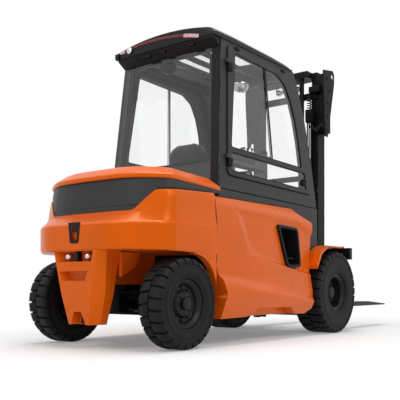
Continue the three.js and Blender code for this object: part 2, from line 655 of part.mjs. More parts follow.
const CLADDING_INNER_Y = SILL_HALF - 69;

/** Dark cladding between the orange panel and the cab sill. */
function cabCladding() {
  const outline = [
    [506, PANEL_TOP_Z + 6], [1664, PANEL_TOP_Z + 6], [2004, 1118], [1966, 735], [1990, 700],
    [2216, 700], [2208, sillZ(2208) - SEAT_GAP], [506, sillZ(506) - SEAT_GAP],
  ];
  const overFender = inset([...FENDER_PATH, [1884, 400], [2512, 400]], -SEAT_GAP);
  return cut(prism("y", outline, CLADDING_INNER_Y, SILL_HALF + 14), prism("y", overFender, 400, 900));
}

/** Bulkhead in front of the driver's feet and the dash on top of it. */
function dashConsole() {
  const half = CLADDING_INNER_Y - 22;
  return join(block(2120, 2200, -half, half, FLOOR_Z + SEAT_GAP, 1262),
    prism("y", [[2000, 1180], [2125, 1120], [2125, 1262], [2030, 1262]], -300, 300));
}

// ---------------------------------------------------------------------------------------------
// Driver's place
// ---------------------------------------------------------------------------------------------

const SEAT = { x: 830, y: -100, half: 250, baseZ: DECK_Z + 30 + SEAT_GAP };
const ARM = { outerY: -460, innerY: -350, lowZ: SEAT.baseZ + 430, topZ: SEAT.baseZ + 510 }; // lever console

/** Seat pedestal with the lever console on its post beside it. */
function seatBase() {
  const { x, y, baseZ } = SEAT;
  const postY = (ARM.outerY + ARM.innerY) / 2;
  return join(block(x - 20, x + 440, y - 200, y + 200, baseZ, baseZ + 70),
    block(x - 40, x + 20, y - 60, y + 60, baseZ, baseZ + 240),
    block(x + 160, x + 230, postY - 25, y - 190, baseZ, baseZ + 40),
    block(x + 160, x + 230, postY - 25, postY + 25, baseZ, ARM.lowZ + 10),
    block(x + 60, x + 520, ARM.outerY, ARM.innerY, ARM.lowZ, ARM.topZ));
}

function seatCushion() {
  const z = SEAT.baseZ + 70 + SEAT_GAP;
  const side = [[SEAT.x + 30, z], [SEAT.x + 500, z], [SEAT.x + 500, z + 130], [SEAT.x + 30, z + 100]];
  return prism("y", rounded(side, 50), SEAT.y - SEAT.half, SEAT.y + SEAT.half);
}

function seatBack() {
  const z = SEAT.baseZ + 190;
  const { x, y, baseZ } = SEAT;
  const back = prism("y", rounded([[x - 50, z], [x + 24, z], [x - 20, z + 415], [x - 110, z + 415]], 24),
    y - 215, y + 215);
  const pillar = block(x - 40 - SEAT_GAP, x + 20 + SEAT_GAP, y - 60 - SEAT_GAP, y + 60 + SEAT_GAP,
    baseZ, baseZ + 240 + SEAT_GAP);
  return cut(back, pillar);
}

const COLUMN = { foot: [2050, 0, 940], head: [1690, 0, 1560] };
function steeringColumn() {
  return join(bar(COLUMN.foot, COLUMN.head, 42), block(2005, 2100, -60, 60, FLOOR_Z + SEAT_GAP, 980));
}

function steeringWheel() {
  const ring = new THREE.TorusGeometry(165, 14, 8, 20);
  const hub = new THREE.CylinderGeometry(38, 38, 34, 16).rotateX(Math.PI / 2);
  const spokes = [0, 1, 2].map((i) => new THREE.BoxGeometry(160, 22, 12).translate(82, 0, 0)
    .rotateZ((2 * Math.PI * i) / 3 + Math.PI / 2));
  const wheel = join(bare(ring), bare(hub), ...spokes.map(bare));
  const foot = new THREE.Vector3(...COLUMN.foot);
  const head = new THREE.Vector3(...COLUMN.head);
  const along = head.clone().sub(foot).normalize();
  wheel.applyQuaternion(new THREE.Quaternion().setFromUnitVectors(new THREE.Vector3(0, 0, 1), along));
  const seat = head.addScaledVector(along, 17 + SEAT_GAP);
  return wheel.translate(seat.x, seat.y, seat.z);
}

// ---------------------------------------------------------------------------------------------
// Wheels and axles
// ---------------------------------------------------------------------------------------------

const WHEEL_SIDES = 30;

/** Solid tyre: section from bead to tread. */
function tyre(size) {
  const { radius, width, bead } = size;
  const half = width / 2;
  const profile = [
    [bead + SEAT_GAP, -half + 22], [bead + 24, -half + 6], [radius - 96, -half], [radius - 34, -half + 6],
    [radius - 8, -half + 22], [radius, -half + 44], [radius, half - 44], [radius - 8, half - 22],
    [radius - 34, half - 6], [radius - 96, half], [bead + 24, half - 6], [bead + SEAT_GAP, half - 22],
  ];
  return turned([...profile, profile[0]], WHEEL_SIDES);
}

/** Rim with its disc set in by `dish` from the outer edge; open bore for the spindle. */
function rim(size, dish, bore) {
  const { width, bead } = size;
  const half = width / 2;
  const outer = half - 24;
  const disc = outer - dish;
  const profile = [
    [bead, -outer], [bead, outer], [bead - 16, outer], [bead - 34, outer - 20], [bead - 46, disc + 14],
    [110, disc + 8], [96, disc + 40], [64, disc + 46], [bore, disc + 46], [bore, disc - 22], [112, disc - 22],
    [bead - 30, disc - 14], [bead - 16, -outer],
  ];
  return turned([...profile, profile[0]], WHEEL_SIDES);
}

const SPINDLE = { rear: 44, front: 58 };
const PIN_GAP = 0.5;
const REAR_DISH = 66;
const FRONT_DISH = 120;

function addWheel(name, size, dish, spindle, x, y, z) {
  const side = Math.sign(y);
  const place = (geometry) => {
    const turnedOut = side > 0 ? geometry : mirrored(geometry);
    return turnedOut.translate(x, y, z);
  };
  add(`tyre_${name}`, place(tyre(size)), TYRE_RUBBER);
  add(`rim_${name}`, place(rim(size, dish, spindle + PIN_GAP)), RIM_BLACK);
}

const REAR_DISC_Y = REAR_TRACK / 2 + REAR_TYRE.width / 2 - 24 - REAR_DISH;
const FRONT_DISC_Y = FRONT_TRACK / 2 + FRONT_TYRE.width / 2 - 24 - FRONT_DISH;

function driveAxle() {
  const housing = bar([WHEELBASE, -420, AXLE_Z], [WHEELBASE, 420, AXLE_Z], HOUSING, 20);
  const parts = [housing];
  for (const side of [-1, 1]) {
    parts.push(bar([WHEELBASE, side * 408, AXLE_Z], [WHEELBASE, side * (FRONT_DISC_Y - 30), AXLE_Z],
      120, 24));
    parts.push(bar([WHEELBASE, side * 400, AXLE_Z], [WHEELBASE, side * (FRONT_DISC_Y + 60), AXLE_Z],
      SPINDLE.front, 24));
  }
  parts.push(block(WHEELBASE - 130, WHEELBASE + 80, -170, 170, AXLE_Z - 130, AXLE_Z + 130));
  return join(...parts);
}

const STEER_Z = REAR_TYRE.radius;

/** Steering axle: two plates with the kingpins between their ends, hung under the chassis. */
function steerAxle() {
  const plan = [
    [-74, -330], [-46, -548], [46, -548], [74, -330], [74, 330], [46, 548], [-46, 548], [-74, 330],
  ];
  const low = STEER_Z - STEER_PLATE_Z - STEER_PLATE;
  const high = STEER_Z + STEER_PLATE_Z;
  const plates = join(prism("z", plan, low, low + STEER_PLATE), prism("z", plan, high, high + STEER_PLATE),
    block(-74, 30, -70, 70, low, high + 10), block(-60, 60, -60, 60, high, SPINE_LOW_Z - SEAT_GAP));
  const pins = [-1, 1].map((side) =>
    bar([0, side * KINGPIN_Y, low - 10], [0, side * KINGPIN_Y, high + 60], 20.5, 16));
  const cylinderZ = STEER_Z - TIE_ROD_DROP;
  const barrel = bar([TIE_ROD_X, -200, cylinderZ], [TIE_ROD_X, 200, cylinderZ], 34, 16);
  const bore = bar([TIE_ROD_X, -210, cylinderZ], [TIE_ROD_X, 210, cylinderZ], TIE_ROD + PIN_GAP, 16);
  return cut(join(plates, barrel), bore, ...pins);
}

/** Rod through the steering cylinder, with an eye at each end. */
function steerRod() {
  const z = STEER_Z - TIE_ROD_DROP;
  const eyes = [-1, 1].map((side) =>
    bar([TIE_ROD_X, side * ROD_HALF, z - 13], [TIE_ROD_X, side * ROD_HALF, z + 13], 24, 14));
  return join(bar([TIE_ROD_X, -ROD_HALF, z], [TIE_ROD_X, ROD_HALF, z], TIE_ROD, 16), ...eyes);
}

/** Steering knuckle, left: kingpin, steering arm and the spindle that the wheel turns on. */
function knuckle() {
  const reach = STEER_PLATE_Z - 1;
  const barrel = bar([0, KINGPIN_Y, STEER_Z - reach], [0, KINGPIN_Y, STEER_Z + reach], 44, 20);
  const pin = bar([0, KINGPIN_Y, STEER_Z - STEER_PLATE_Z - STEER_PLATE],
    [0, KINGPIN_Y, STEER_Z + STEER_PLATE_Z + STEER_PLATE], 20, 16);
  const spindle = bar([0, KINGPIN_Y, STEER_Z], [0, REAR_DISC_Y + 60, STEER_Z], SPINDLE.rear, 24);
  const arm = prism("z", [[-22, KINGPIN_Y - 14], [TIE_ROD_X - 20, ROD_HALF - 14],
    [TIE_ROD_X + 18, ROD_HALF - 14], [TIE_ROD_X + 22, ROD_HALF + 30], [30, KINGPIN_Y + 14]],
  STEER_Z + 4, STEER_Z + 28);
  return join(barrel, pin, spindle, arm);
}

// ---------------------------------------------------------------------------------------------
// Mast, carriage and forks
// ---------------------------------------------------------------------------------------------

const INNER_OUT = MAST_HALF - FLANGE - RUN_GAP; // outer face of the inner uprights
const CYLINDER = { y: PIVOT_INNER_Y - 95, x: MAST_BACK_X - 48, outer: 40, rod: 26 };
const BARREL_FOOT_Z = MAST_FOOT_Z + 158;
const BARREL_TOP_Z = BARREL_FOOT_Z + 1740;

const HEAD_PLATE_Y = 496; // inner face of the plates that stand outboard of the mast's head
const CARRIAGE_GAP = 6; // between the head plates and the carriage that passes in front of them

/** Plate beside the head of the outer mast, with its lifting hole and the spacers that carry it. */
function headPlate(side) {
  const front = CARRIAGE_X - CARRIAGE_GAP;
  const plate = prism("y", [[front - 208, MAST_TOP_Z - 560], [front - 148, MAST_TOP_Z - 560],
    [front, MAST_TOP_Z + 40], [front, MAST_TOP_Z + 150], [front - 38, MAST_TOP_Z + 186],
    [front - 248, MAST_TOP_Z + 150], [front - 248, MAST_TOP_Z - 20]],
  ...span(side, HEAD_PLATE_Y, HEAD_PLATE_Y + 12));
  const spacers = [MAST_TOP_Z - 500, MAST_TOP_Z - 40].map((z) =>
    bar([front - 170, side * (MAST_HALF - 10), z], [front - 170, side * (HEAD_PLATE_Y + 6), z], 24, 16));
  const hole = bar([front - 46, side * (HEAD_PLATE_Y - 5), MAST_TOP_Z + 118],
    [front - 46, side * (HEAD_PLATE_Y + 17), MAST_TOP_Z + 118], 27, 16);
  return cut(join(plate, ...spacers), hole);
}

/** Outer mast: two channels open to the inside, tied across at the foot, the middle and the top. */
function mastOuter() {
  const parts = [];
  const front = MAST_BACK_X + MAST_DEPTH;
  const { x: pivotX, z: pivotZ, eye } = MAST_PIVOT;
  for (const side of [-1, 1]) {
    const web = span(side, MAST_HALF - FLANGE, MAST_HALF);
    const lips = span(side, MAST_HALF - 80, MAST_HALF);
    const pivotLug = span(side, PIVOT_INNER_Y, MAST_HALF - 21);
    parts.push(block(MAST_BACK_X, front, ...web, MAST_FOOT_Z, MAST_TOP_Z));
    parts.push(block(MAST_BACK_X, MAST_BACK_X + FLANGE, ...lips, MAST_FOOT_Z, MAST_TOP_Z));
    parts.push(block(front - FLANGE, front, ...lips, MAST_FOOT_Z, MAST_TOP_Z));
    parts.push(headPlate(side));
    parts.push(prism("y", [[pivotX - 10, pivotZ - eye], [MAST_BACK_X + 5, pivotZ - 120],
      [MAST_BACK_X + 5, pivotZ + 120], [pivotX - 10, pivotZ + eye]], ...pivotLug));
    parts.push(bar([pivotX, pivotLug[0], pivotZ], [pivotX, pivotLug[1], pivotZ], eye, 20));
    parts.push(prism("y", [[TILT_PIN.x - 32, TILT_PIN.z - 34], [MAST_BACK_X + 5, TILT_PIN.z - 90],
      [MAST_BACK_X + 5, TILT_PIN.z + 90], [TILT_PIN.x - 32, TILT_PIN.z + 34]],
    ...span(side, TILT_Y + 22, MAST_HALF)));
    parts.push(bar([TILT_PIN.x, side * (TILT_Y - 30), TILT_PIN.z],
      [TILT_PIN.x, side * (TILT_Y + 26), TILT_PIN.z], 17, 14));
    parts.push(block(CYLINDER.x - 44, MAST_BACK_X + 5, ...span(side, CYLINDER.y - 46, CYLINDER.y + 46),
      BARREL_FOOT_Z - 28, BARREL_FOOT_Z));
  }
  const ties = [[MAST_FOOT_Z + 40, MAST_FOOT_Z + 150], [1500, 1560], [MAST_TOP_Z - 140, MAST_TOP_Z - 70]];
  for (const [low, high] of ties) {
    parts.push(block(MAST_BACK_X - 22, MAST_BACK_X + 6, -MAST_HALF, MAST_HALF, low, high));
  }
  const pinHoles = bar([pivotX, -500, pivotZ], [pivotX, 500, pivotZ], 30.5, 20);
  const barrels = [-1, 1].map((side) => bar([CYLINDER.x, side * CYLINDER.y, MAST_FOOT_Z + 100],
    [CYLINDER.x, side * CYLINDER.y, MAST_TOP_Z + 50], CYLINDER.outer + SEAT_GAP, 20));
  return cut(join(...parts), pinHoles, ...barrels);
}

function mastInner() {
  const x0 = MAST_BACK_X + FLANGE + RUN_GAP;
  const x1 = MAST_BACK_X + MAST_DEPTH - FLANGE - RUN_GAP;
  const foot = MAST_FOOT_Z + LIFT_AT_REST + 10;
  const parts = [];
  for (const side of [-1, 1]) {
    parts.push(block(x0, x1, ...span(side, INNER_OUT - 18, INNER_OUT), foot, INNER_TOP_Z));
    parts.push(block(x0, x0 + 18, ...span(side, INNER_OUT - 66, INNER_OUT), foot, INNER_TOP_Z));
    parts.push(block(x1 - 18, x1, ...span(side, INNER_OUT - 66, INNER_OUT), foot, INNER_TOP_Z));
    parts.push(bar([CYLINDER.x, side * CYLINDER.y, BARREL_FOOT_Z + LIFT_LOW + 40],
      [CYLINDER.x, side * CYLINDER.y, INNER_TOP_Z - 60], CYLINDER.rod, 16));
  }
  const betweenFlanges = MAST_HALF - 80 - RUN_GAP;
  parts.push(block(x0, x1, -INNER_OUT, INNER_OUT, INNER_TOP_Z - 70, INNER_TOP_Z),
    block(CYLINDER.x - 40, x1, -betweenFlanges, betweenFlanges, INNER_TOP_Z - 70, INNER_TOP_Z));
  parts.push(block(x0, x0 + 18, -INNER_OUT, INNER_OUT, foot + 20, foot + 90));
  parts.push(block(x0, x0 + 18, -INNER_OUT, INNER_OUT, 1650, 1710));
  return join(...parts);
}

/** Barrel of a lift cylinder, left; closed at its foot, open at its gland. */
function liftBarrel() {
  const low = BARREL_FOOT_Z + SEAT_GAP;
  const at = (z) => [CYLINDER.x, CYLINDER.y, z];
  return cut(bar(at(low), at(BARREL_TOP_Z), CYLINDER.outer, 20), bar(at(low + 24), at(BARREL_TOP_Z + 5),
    CYLINDER.rod + PIN_GAP, 16));
}

/** Fork carriage: two bars, side plates with guide rollers running in the inner mast. */
function forkCarriage() {
  const { depth, upperZ, lowerZ, height } = CARRIAGE_BAR;
  const barEnd = (z, notch) =>
    block(CARRIAGE_X, CARRIAGE_X + depth, -CARRIAGE_HALF + notch, CARRIAGE_HALF - notch, z, z + height);
  const parts = [barEnd(upperZ, 0), barEnd(lowerZ, 0)];
  const innerX = MAST_BACK_X + FLANGE + RUN_GAP + 18;
  const channel = MAST_DEPTH - 2 * (FLANGE + RUN_GAP) - 2 * 18;
  for (const side of [-1, 1]) {
    const y0 = INNER_OUT - 66 - 34;
    parts.push(block(innerX + 6, CARRIAGE_X + 5, ...span(side, y0, y0 - 30), lowerZ, upperZ + height));
    for (const z of [lowerZ + 60, upperZ + 60]) {
      const x = innerX + channel / 2;
      parts.push(bar([x, side * (y0 - 5), z], [x, side * (INNER_OUT - 18 - 3), z], channel / 2 - 0.6, 16));
    }
  }
  return join(...parts);
}

/** Fork, left: shank hooked on both bars, blade tapering to its tip. */
function fork() {
  const heelX = CARRIAGE_X + CARRIAGE_BAR.depth + SEAT_GAP;
  const top = CARRIAGE_BAR.upperZ + CARRIAGE_BAR.height;
  const outline = [
    [heelX, FORK.bottomZ + 60], [heelX + 30, FORK.bottomZ], [FORK_TIP_X, FORK.bottomZ],
    [FORK_TIP_X, FORK.bottomZ + FORK.tipThickness], [heelX + 700, FORK.bottomZ + FORK.thickness],
    [heelX + FORK.thickness + 30, FORK.bottomZ + FORK.thickness],
    [heelX + FORK.thickness, FORK.bottomZ + FORK.thickness + 30],
    [heelX + FORK.thickness, top + 22], [heelX - 34, top + 22], [heelX - 34, top + SEAT_GAP],
    [heelX, top + SEAT_GAP],
  ];
  return prism("y", outline, FORK.outerY - FORK.width, FORK.outerY);
}

const CHAIN = { y: 120, pulley: 34 };

function chainPulleys() {
  const x = MAST_BACK_X + 93;
  const z = INNER_TOP_Z - 70 - CHAIN.pulley - 26;
  const wheels = [-1, 1].map((side) => bar([x, side * (CHAIN.y - 22), z], [x, side * (CHAIN.y + 22), z],
    CHAIN.pulley, 20));
  return join(bar([x, -CHAIN.y - 40, z], [x, CHAIN.y + 40, z], 16, 12), ...wheels,
    ...[-1, 0, 1].map((k) => block(x - 20, x + 20, k * (CHAIN.y + 34) - 5, k * (CHAIN.y + 34) + 5, z - 20,
      INNER_TOP_Z - 70 - SEAT_GAP)));
}

// ---------------------------------------------------------------------------------------------
// Tilt cylinders
// ---------------------------------------------------------------------------------------------

function tiltLine() {
  const foot = new THREE.Vector3(TILT_FOOT.x, TILT_Y, TILT_FOOT.z);
  const head = new THREE.Vector3(TILT_PIN.x, TILT_Y, TILT_PIN.z);
  const along = head.clone().sub(foot).normalize();
  return { foot, head, along };
}

function tiltBarrel() {
  const { foot, along } = tiltLine();
  const from = foot.clone().addScaledVector(along, 30);
  const to = foot.clone().addScaledVector(along, 372);
  const bore = to.clone().addScaledVector(along, 5);
  const body = bar(from.toArray(), to.toArray(), 42, 20);
  const hole = bar(foot.clone().addScaledVector(along, 62).toArray(), bore.toArray(), 20.5, 16);
  const eye = bar([foot.x, TILT_Y - 20, foot.z], [foot.x, TILT_Y + 20, foot.z], 36, 16);
  const pin = bar([foot.x, TILT_Y - 40, foot.z], [foot.x, TILT_Y + 40, foot.z], 16.5, 14);
  return cut(join(body, eye), hole, pin);
}

function tiltRod() {
  const { foot, head, along } = tiltLine();
  const from = foot.clone().addScaledVector(along, 190);
  const eye = bar([head.x, TILT_Y - 19, head.z], [head.x, TILT_Y + 19, head.z], 34, 16);
  const pin = bar([head.x, TILT_Y - 40, head.z], [head.x, TILT_Y + 40, head.z], 20, 14);
  return cut(join(bar(from.toArray(), head.toArray(), 20, 16), eye), pin);
}

// ---------------------------------------------------------------------------------------------
// Assembly
// ---------------------------------------------------------------------------------------------

add("chassis_frame", chassisFrame(), BLACK_STEEL);
add("counterweight", counterweight(), CAST_ORANGE);
add("rear_band", rearBand(), CAB_GREY);
add("rear_hood", rearHood(), ORANGE);
add("tow_frame", towFrame(), BLACK_STEEL);
addPair("side_panel", sidePanel(), ORANGE);
addPair("step_box", stepBox(), BLACK_STEEL);
addPair("front_fender", frontFender(), ORANGE);
add("battery_block", batteryBlock(), PLASTIC);
add("seat_deck", seatDeck(), CAB_GREY);
addPair("cab_side", cabSide(), CAB_GREY);
add("rear_frame", rearFrame(), CAB_GREY);
add("roof_frame", roofFrame(), CAB_GREY);
addPair("cab_cladding", cabCladding(), CAB_GREY);
add("roof_panel", roofPanel(), BLACK_STEEL);
add("roof_window", roofWindow(), TINTED);
add("rear_window", rearWindow(), TINTED);
add("windscreen", windscreen(), TINTED);
addPair("door_frame", doorFrame(), CAB_GREY);
addPair("door_glass", pane(DOOR_GLASS), TINTED);
addPair("door_low_glass", pane(DOOR_LOW_GLASS), TINTED);
add("dash_console", dashConsole(), PLASTIC);
add("seat_base", seatBase(), PLASTIC);
add("seat_cushion", seatCushion(), SEAT_FABRIC);
add("seat_back", seatBack(), SEAT_FABRIC);
add("steering_column", steeringColumn(), PLASTIC);
add("steering_wheel", steeringWheel(), PLASTIC);
add("drive_axle", driveAxle(), BLACK_STEEL);
add("steer_axle", steerAxle(), BLACK_STEEL);
add("steer_rod", steerRod(), BARE_STEEL);
addPair("knuckle", knuckle(), BLACK_STEEL);
for (const [side, sign] of [["left", 1], ["right", -1]]) {
  addWheel(`front_${side}`, FRONT_TYRE, FRONT_DISH, SPINDLE.front, WHEELBASE, sign * FRONT_TRACK / 2,
    FRONT_TYRE.radius);
  addWheel(`rear_${side}`, REAR_TYRE, REAR_DISH, SPINDLE.rear, 0, sign * REAR_TRACK / 2, REAR_TYRE.radius);
}
add("mast_outer", mastOuter(), BLACK_STEEL);
add("mast_inner", mastInner(), BLACK_STEEL);
addPair("lift_barrel", liftBarrel(), BLACK_STEEL);
add("chain_pulleys", chainPulleys(), BARE_STEEL);
add("fork_carriage", forkCarriage(), BLACK_STEEL);
addPair("fork", fork(), BLACK_STEEL);
addPair("tilt_barrel", tiltBarrel(), BLACK_STEEL);
addPair("tilt_rod", tiltRod(), BARE_STEEL);

export default forklift;
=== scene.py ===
"""Electric counterbalance forklift with a closed cab: its finished pieces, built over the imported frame."""

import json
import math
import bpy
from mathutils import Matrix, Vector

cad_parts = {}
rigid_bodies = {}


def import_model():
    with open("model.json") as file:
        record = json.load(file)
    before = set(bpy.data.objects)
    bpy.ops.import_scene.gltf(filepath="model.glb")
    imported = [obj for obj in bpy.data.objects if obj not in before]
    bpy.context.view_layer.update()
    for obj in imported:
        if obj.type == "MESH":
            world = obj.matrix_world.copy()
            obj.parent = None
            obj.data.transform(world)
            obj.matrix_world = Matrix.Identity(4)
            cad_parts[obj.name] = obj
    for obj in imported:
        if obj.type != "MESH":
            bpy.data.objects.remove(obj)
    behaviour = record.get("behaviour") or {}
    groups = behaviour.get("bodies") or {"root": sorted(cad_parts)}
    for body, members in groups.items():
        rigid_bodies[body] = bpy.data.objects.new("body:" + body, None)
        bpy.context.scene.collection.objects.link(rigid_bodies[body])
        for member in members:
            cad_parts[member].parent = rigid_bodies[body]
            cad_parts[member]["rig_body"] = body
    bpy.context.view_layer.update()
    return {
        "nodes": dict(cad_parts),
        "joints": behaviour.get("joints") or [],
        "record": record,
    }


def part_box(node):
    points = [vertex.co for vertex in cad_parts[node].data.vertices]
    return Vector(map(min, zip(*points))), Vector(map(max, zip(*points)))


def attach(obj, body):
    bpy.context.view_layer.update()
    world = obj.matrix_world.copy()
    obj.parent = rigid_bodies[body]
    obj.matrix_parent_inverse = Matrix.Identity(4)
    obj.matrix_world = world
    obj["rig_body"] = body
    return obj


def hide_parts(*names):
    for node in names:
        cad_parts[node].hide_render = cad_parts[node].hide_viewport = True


bl_info = {
    "name": "Electric forklift",
    "version": (1, 0, 0),
    "blender": (4, 5, 0),
    "location": "View3D > Sidebar > Forklift",
    "description": "Builds the finished pieces of an electric forklift round its frame",
    "category": "Object",
}

import bmesh
import bpy
from bpy.props import FloatProperty, FloatVectorProperty, IntProperty, PointerProperty
from mathutils import Vector
from mathutils.bvhtree import BVHTree

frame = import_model()
JOINTS = {joint["name"]: joint for joint in frame["joints"]}
SLOT_OF = {part["node"]: part["material_slot"] for part in frame["record"]["subparts"]}
REAR_AXLE = Vector(JOINTS["rear_left_roll"]["pos_m"])
FRONT_AXLE = Vector(JOINTS["front_left_roll"]["pos_m"])
SIDES = (("left", 1), ("right", -1))
FORWARDS = Vector((1, 0, 0))
SIDEWAYS = Vector((0, 1, 0))
UPWARDS = Vector((0, 0, 1))


def spot(x, y, z):
    """A point in metres; x is measured forwards from the rear axle."""
    return Vector((REAR_AXLE.x + x, y, z))


def mirrored(point):
    """The same point on the machine's other side."""
    return Vector((point.x, -point.y, point.z))


# ---------------------------------------------------------------------------------------------
# Sizes and colours
# ---------------------------------------------------------------------------------------------


class ForkliftColours(bpy.types.PropertyGroup):
    """Colours of the finishes, as they should look in even light."""

    orange: FloatVectorProperty(name="Orange paint", description="Body panels, hood and fenders",
                                subtype="COLOR", size=3, min=0, max=1, default=(0.712, 0.104, 0.003))
    cab: FloatVectorProperty(name="Cab grey", description="Cab frame, doors and the band round the rear",
                             subtype="COLOR", size=3, min=0, max=1, default=(0.036, 0.037, 0.038))
    steel: FloatVectorProperty(name="Black steel", description="Mast, carriage, chassis and axles",
                               subtype="COLOR", size=3, min=0, max=1, default=(0.0055, 0.0055, 0.006))
    rubber: FloatVectorProperty(name="Tyre rubber", description="Solid tyres",
                                subtype="COLOR", size=3, min=0, max=1, default=(0.0075, 0.0075, 0.008))
    fabric: FloatVectorProperty(name="Seat fabric", description="Seat cushion and backrest",
                                subtype="COLOR", size=3, min=0, max=1, default=(0.045, 0.046, 0.049))
    glass: FloatVectorProperty(name="Glass tint", description="What the panes let through",
                               subtype="COLOR", size=3, min=0, max=1, default=(0.980, 0.984, 0.982))


class ForkliftSizes(bpy.types.PropertyGroup):
    """Sizes of the details that the frame leaves open."""

    edge: FloatProperty(name="Plate edge", description="Rounding of cut steel plate edges",
                        default=0.003, min=0.0005, max=0.01, unit="LENGTH")
    lugs: IntProperty(name="Tread lugs", description="Lugs round each shoulder of a rear tyre",
                      default=24, min=12, max=40)
    lug_depth: FloatProperty(name="Tread depth", description="Depth of the tread grooves",
                             default=0.021, min=0.005, max=0.04, unit="LENGTH")
    slit: FloatProperty(name="Tread slit", description="Width of the slits between lugs",
                        default=0.015, min=0.003, max=0.04, unit="LENGTH")
    gasket: FloatProperty(name="Gasket", description="Radius of the door and window gaskets",
                          default=0.006, min=0.002, max=0.012, unit="LENGTH")
    wheel_nuts: IntProperty(name="Wheel nuts", description="Nuts on each wheel", default=10, min=5, max=12)


def sizes():
    return bpy.context.scene.forklift_sizes


def colours():
    return bpy.context.scene.forklift_colours


# ---------------------------------------------------------------------------------------------
# Materials
# ---------------------------------------------------------------------------------------------


class Surface:
    """A Principled material that is being wired up."""

    def __init__(self, name, colour, roughness, metallic=0.0, shine=0.2):
        self.name = name
        self.material = bpy.data.materials.new(name)
        self.material.use_nodes = True
        self.tree = self.material.node_tree
        self.shader = self.tree.nodes["Principled BSDF"]
        self.colour = tuple(colour)
        self.set("Base Color", (*self.colour, 1.0))
        self.set("Roughness", roughness)
        self.set("Metallic", metallic)
        self.set("Specular IOR Level", shine)
        self.place = self.tree.nodes.new("ShaderNodeTexCoord").outputs["Object"]
        self.height = None

    def set(self, socket, value):
        self.shader.inputs[socket].default_value = value
        return self

    def node(self, kind, **inputs):
        made = self.tree.nodes.new(kind)
        for socket, value in inputs.items():
            made.inputs[socket.replace("_", " ")].default_value = value
        return made

    def join(self, source, target):
        self.tree.links.new(source, target)

    def noise(self, scale, detail=3.0, roughness=0.55):
        texture = self.node("ShaderNodeTexNoise", Scale=scale, Detail=detail, Roughness=roughness)
        self.join(self.place, texture.inputs["Vector"])
        return texture.outputs["Fac"]

    def cells(self, scale):
        texture = self.node("ShaderNodeTexVoronoi", Scale=scale)
        self.join(self.place, texture.inputs["Vector"])
        return texture.outputs["Distance"]

    def ribs(self, scale, axis):
        texture = self.node("ShaderNodeTexWave", Scale=scale)
        texture.bands_direction = axis
        self.join(self.place, texture.inputs["Vector"])
        return texture.outputs["Fac"]

    def vary_colour(self, source, spread, low=0.35, high=0.65):
        """Runs the colour between a darker and a lighter shade of itself."""
        ramp = self.tree.nodes.new("ShaderNodeValToRGB")
        for element, place, share in zip(ramp.color_ramp.elements, (low, high), (1 - spread, 1 + spread)):
            element.position = place
            element.color = (*(min(1.0, channel * share) for channel in self.colour), 1.0)
        self.join(source, ramp.inputs["Fac"])
        self.join(ramp.outputs["Color"], self.shader.inputs["Base Color"])
        return self

    def vary_roughness(self, source, low, high):
        spread = self.node("ShaderNodeMapRange")
        spread.inputs["To Min"].default_value = low
        spread.inputs["To Max"].default_value = high
        self.join(source, spread.inputs["Value"])
        self.join(spread.outputs["Result"], self.shader.inputs["Roughness"])
        return self

    def bump(self, source, strength, distance):
        relief = self.node("ShaderNodeBump", Strength=strength, Distance=distance)
        self.join(source, relief.inputs["Height"])
        if self.height:
            self.join(self.height, relief.inputs["Normal"])
        self.height = relief.outputs["Normal"]
        self.join(self.height, self.shader.inputs["Normal"])
        return self


WARM_SHINE = (1.0, 0.58, 0.14, 1.0)


def orange_paint():
    """Gloss paint on sheet steel, with a faint orange peel; its mirror is as warm as the pigment."""
    paint = Surface("orange_paint", colours().orange, 0.30, 0.0, 0.50)
    paint.set("Specular Tint", WARM_SHINE)
    paint.vary_colour(paint.noise(2.3, 4.0), 0.035)
    paint.vary_roughness(paint.noise(9.0), 0.24, 0.34)
    return paint.bump(paint.noise(260.0, 1.0), 0.04, 0.0003)


def cast_orange():
    """The same paint over a cast face, a little rougher."""
    paint = Surface("cast_orange", colours().orange, 0.30, 0.0, 0.50)
    paint.set("Specular Tint", WARM_SHINE)
    paint.vary_colour(paint.noise(3.1, 5.0), 0.05)
    paint.vary_roughness(paint.noise(14.0), 0.24, 0.36)
    paint.bump(paint.noise(7.0, 2.0), 0.10, 0.004)
    return paint.bump(paint.noise(420.0, 2.0), 0.10, 0.0006)


def cab_grey():
    """Satin powder coat with a fine grain."""
    coat = Surface("cab_grey", colours().cab, 0.46)
    coat.vary_colour(coat.noise(4.0, 5.0), 0.08)
    coat.vary_roughness(coat.noise(22.0), 0.40, 0.54)
    return coat.bump(coat.noise(1300.0, 1.0), 0.12, 0.0004)


def roof_black():
    """Moulded shell with a satin skin."""
    shell = Surface("roof_black", (0.005, 0.005, 0.0055), 0.30)
    shell.set("Coat Weight", 0.05).set("Coat Roughness", 0.2)
    shell.vary_colour(shell.noise(6.0), 0.10)
    return shell.bump(shell.noise(700.0, 1.0), 0.06, 0.0003)


def black_steel():
    """Satin black paint over plate and rolled section, rubbed brighter in places."""
    steel = Surface("black_steel", colours().steel, 0.42, 0.0, 0.10)
    steel.vary_colour(steel.noise(11.0, 7.0, 0.7), 0.30, 0.42, 0.7)
    steel.vary_roughness(steel.noise(31.0, 4.0), 0.34, 0.56)
    return steel.bump(steel.noise(260.0, 3.0), 0.10, 0.0006)


def fork_steel():
    """Painted forging with a worn blade."""
    steel = Surface("fork_steel", (0.020, 0.020, 0.022), 0.42, 0.3)
    steel.vary_colour(steel.noise(24.0, 8.0, 0.75), 0.45, 0.4, 0.72)
    steel.vary_roughness(steel.noise(60.0, 4.0), 0.30, 0.60)
    return steel.bump(steel.noise(130.0, 4.0), 0.14, 0.0012)


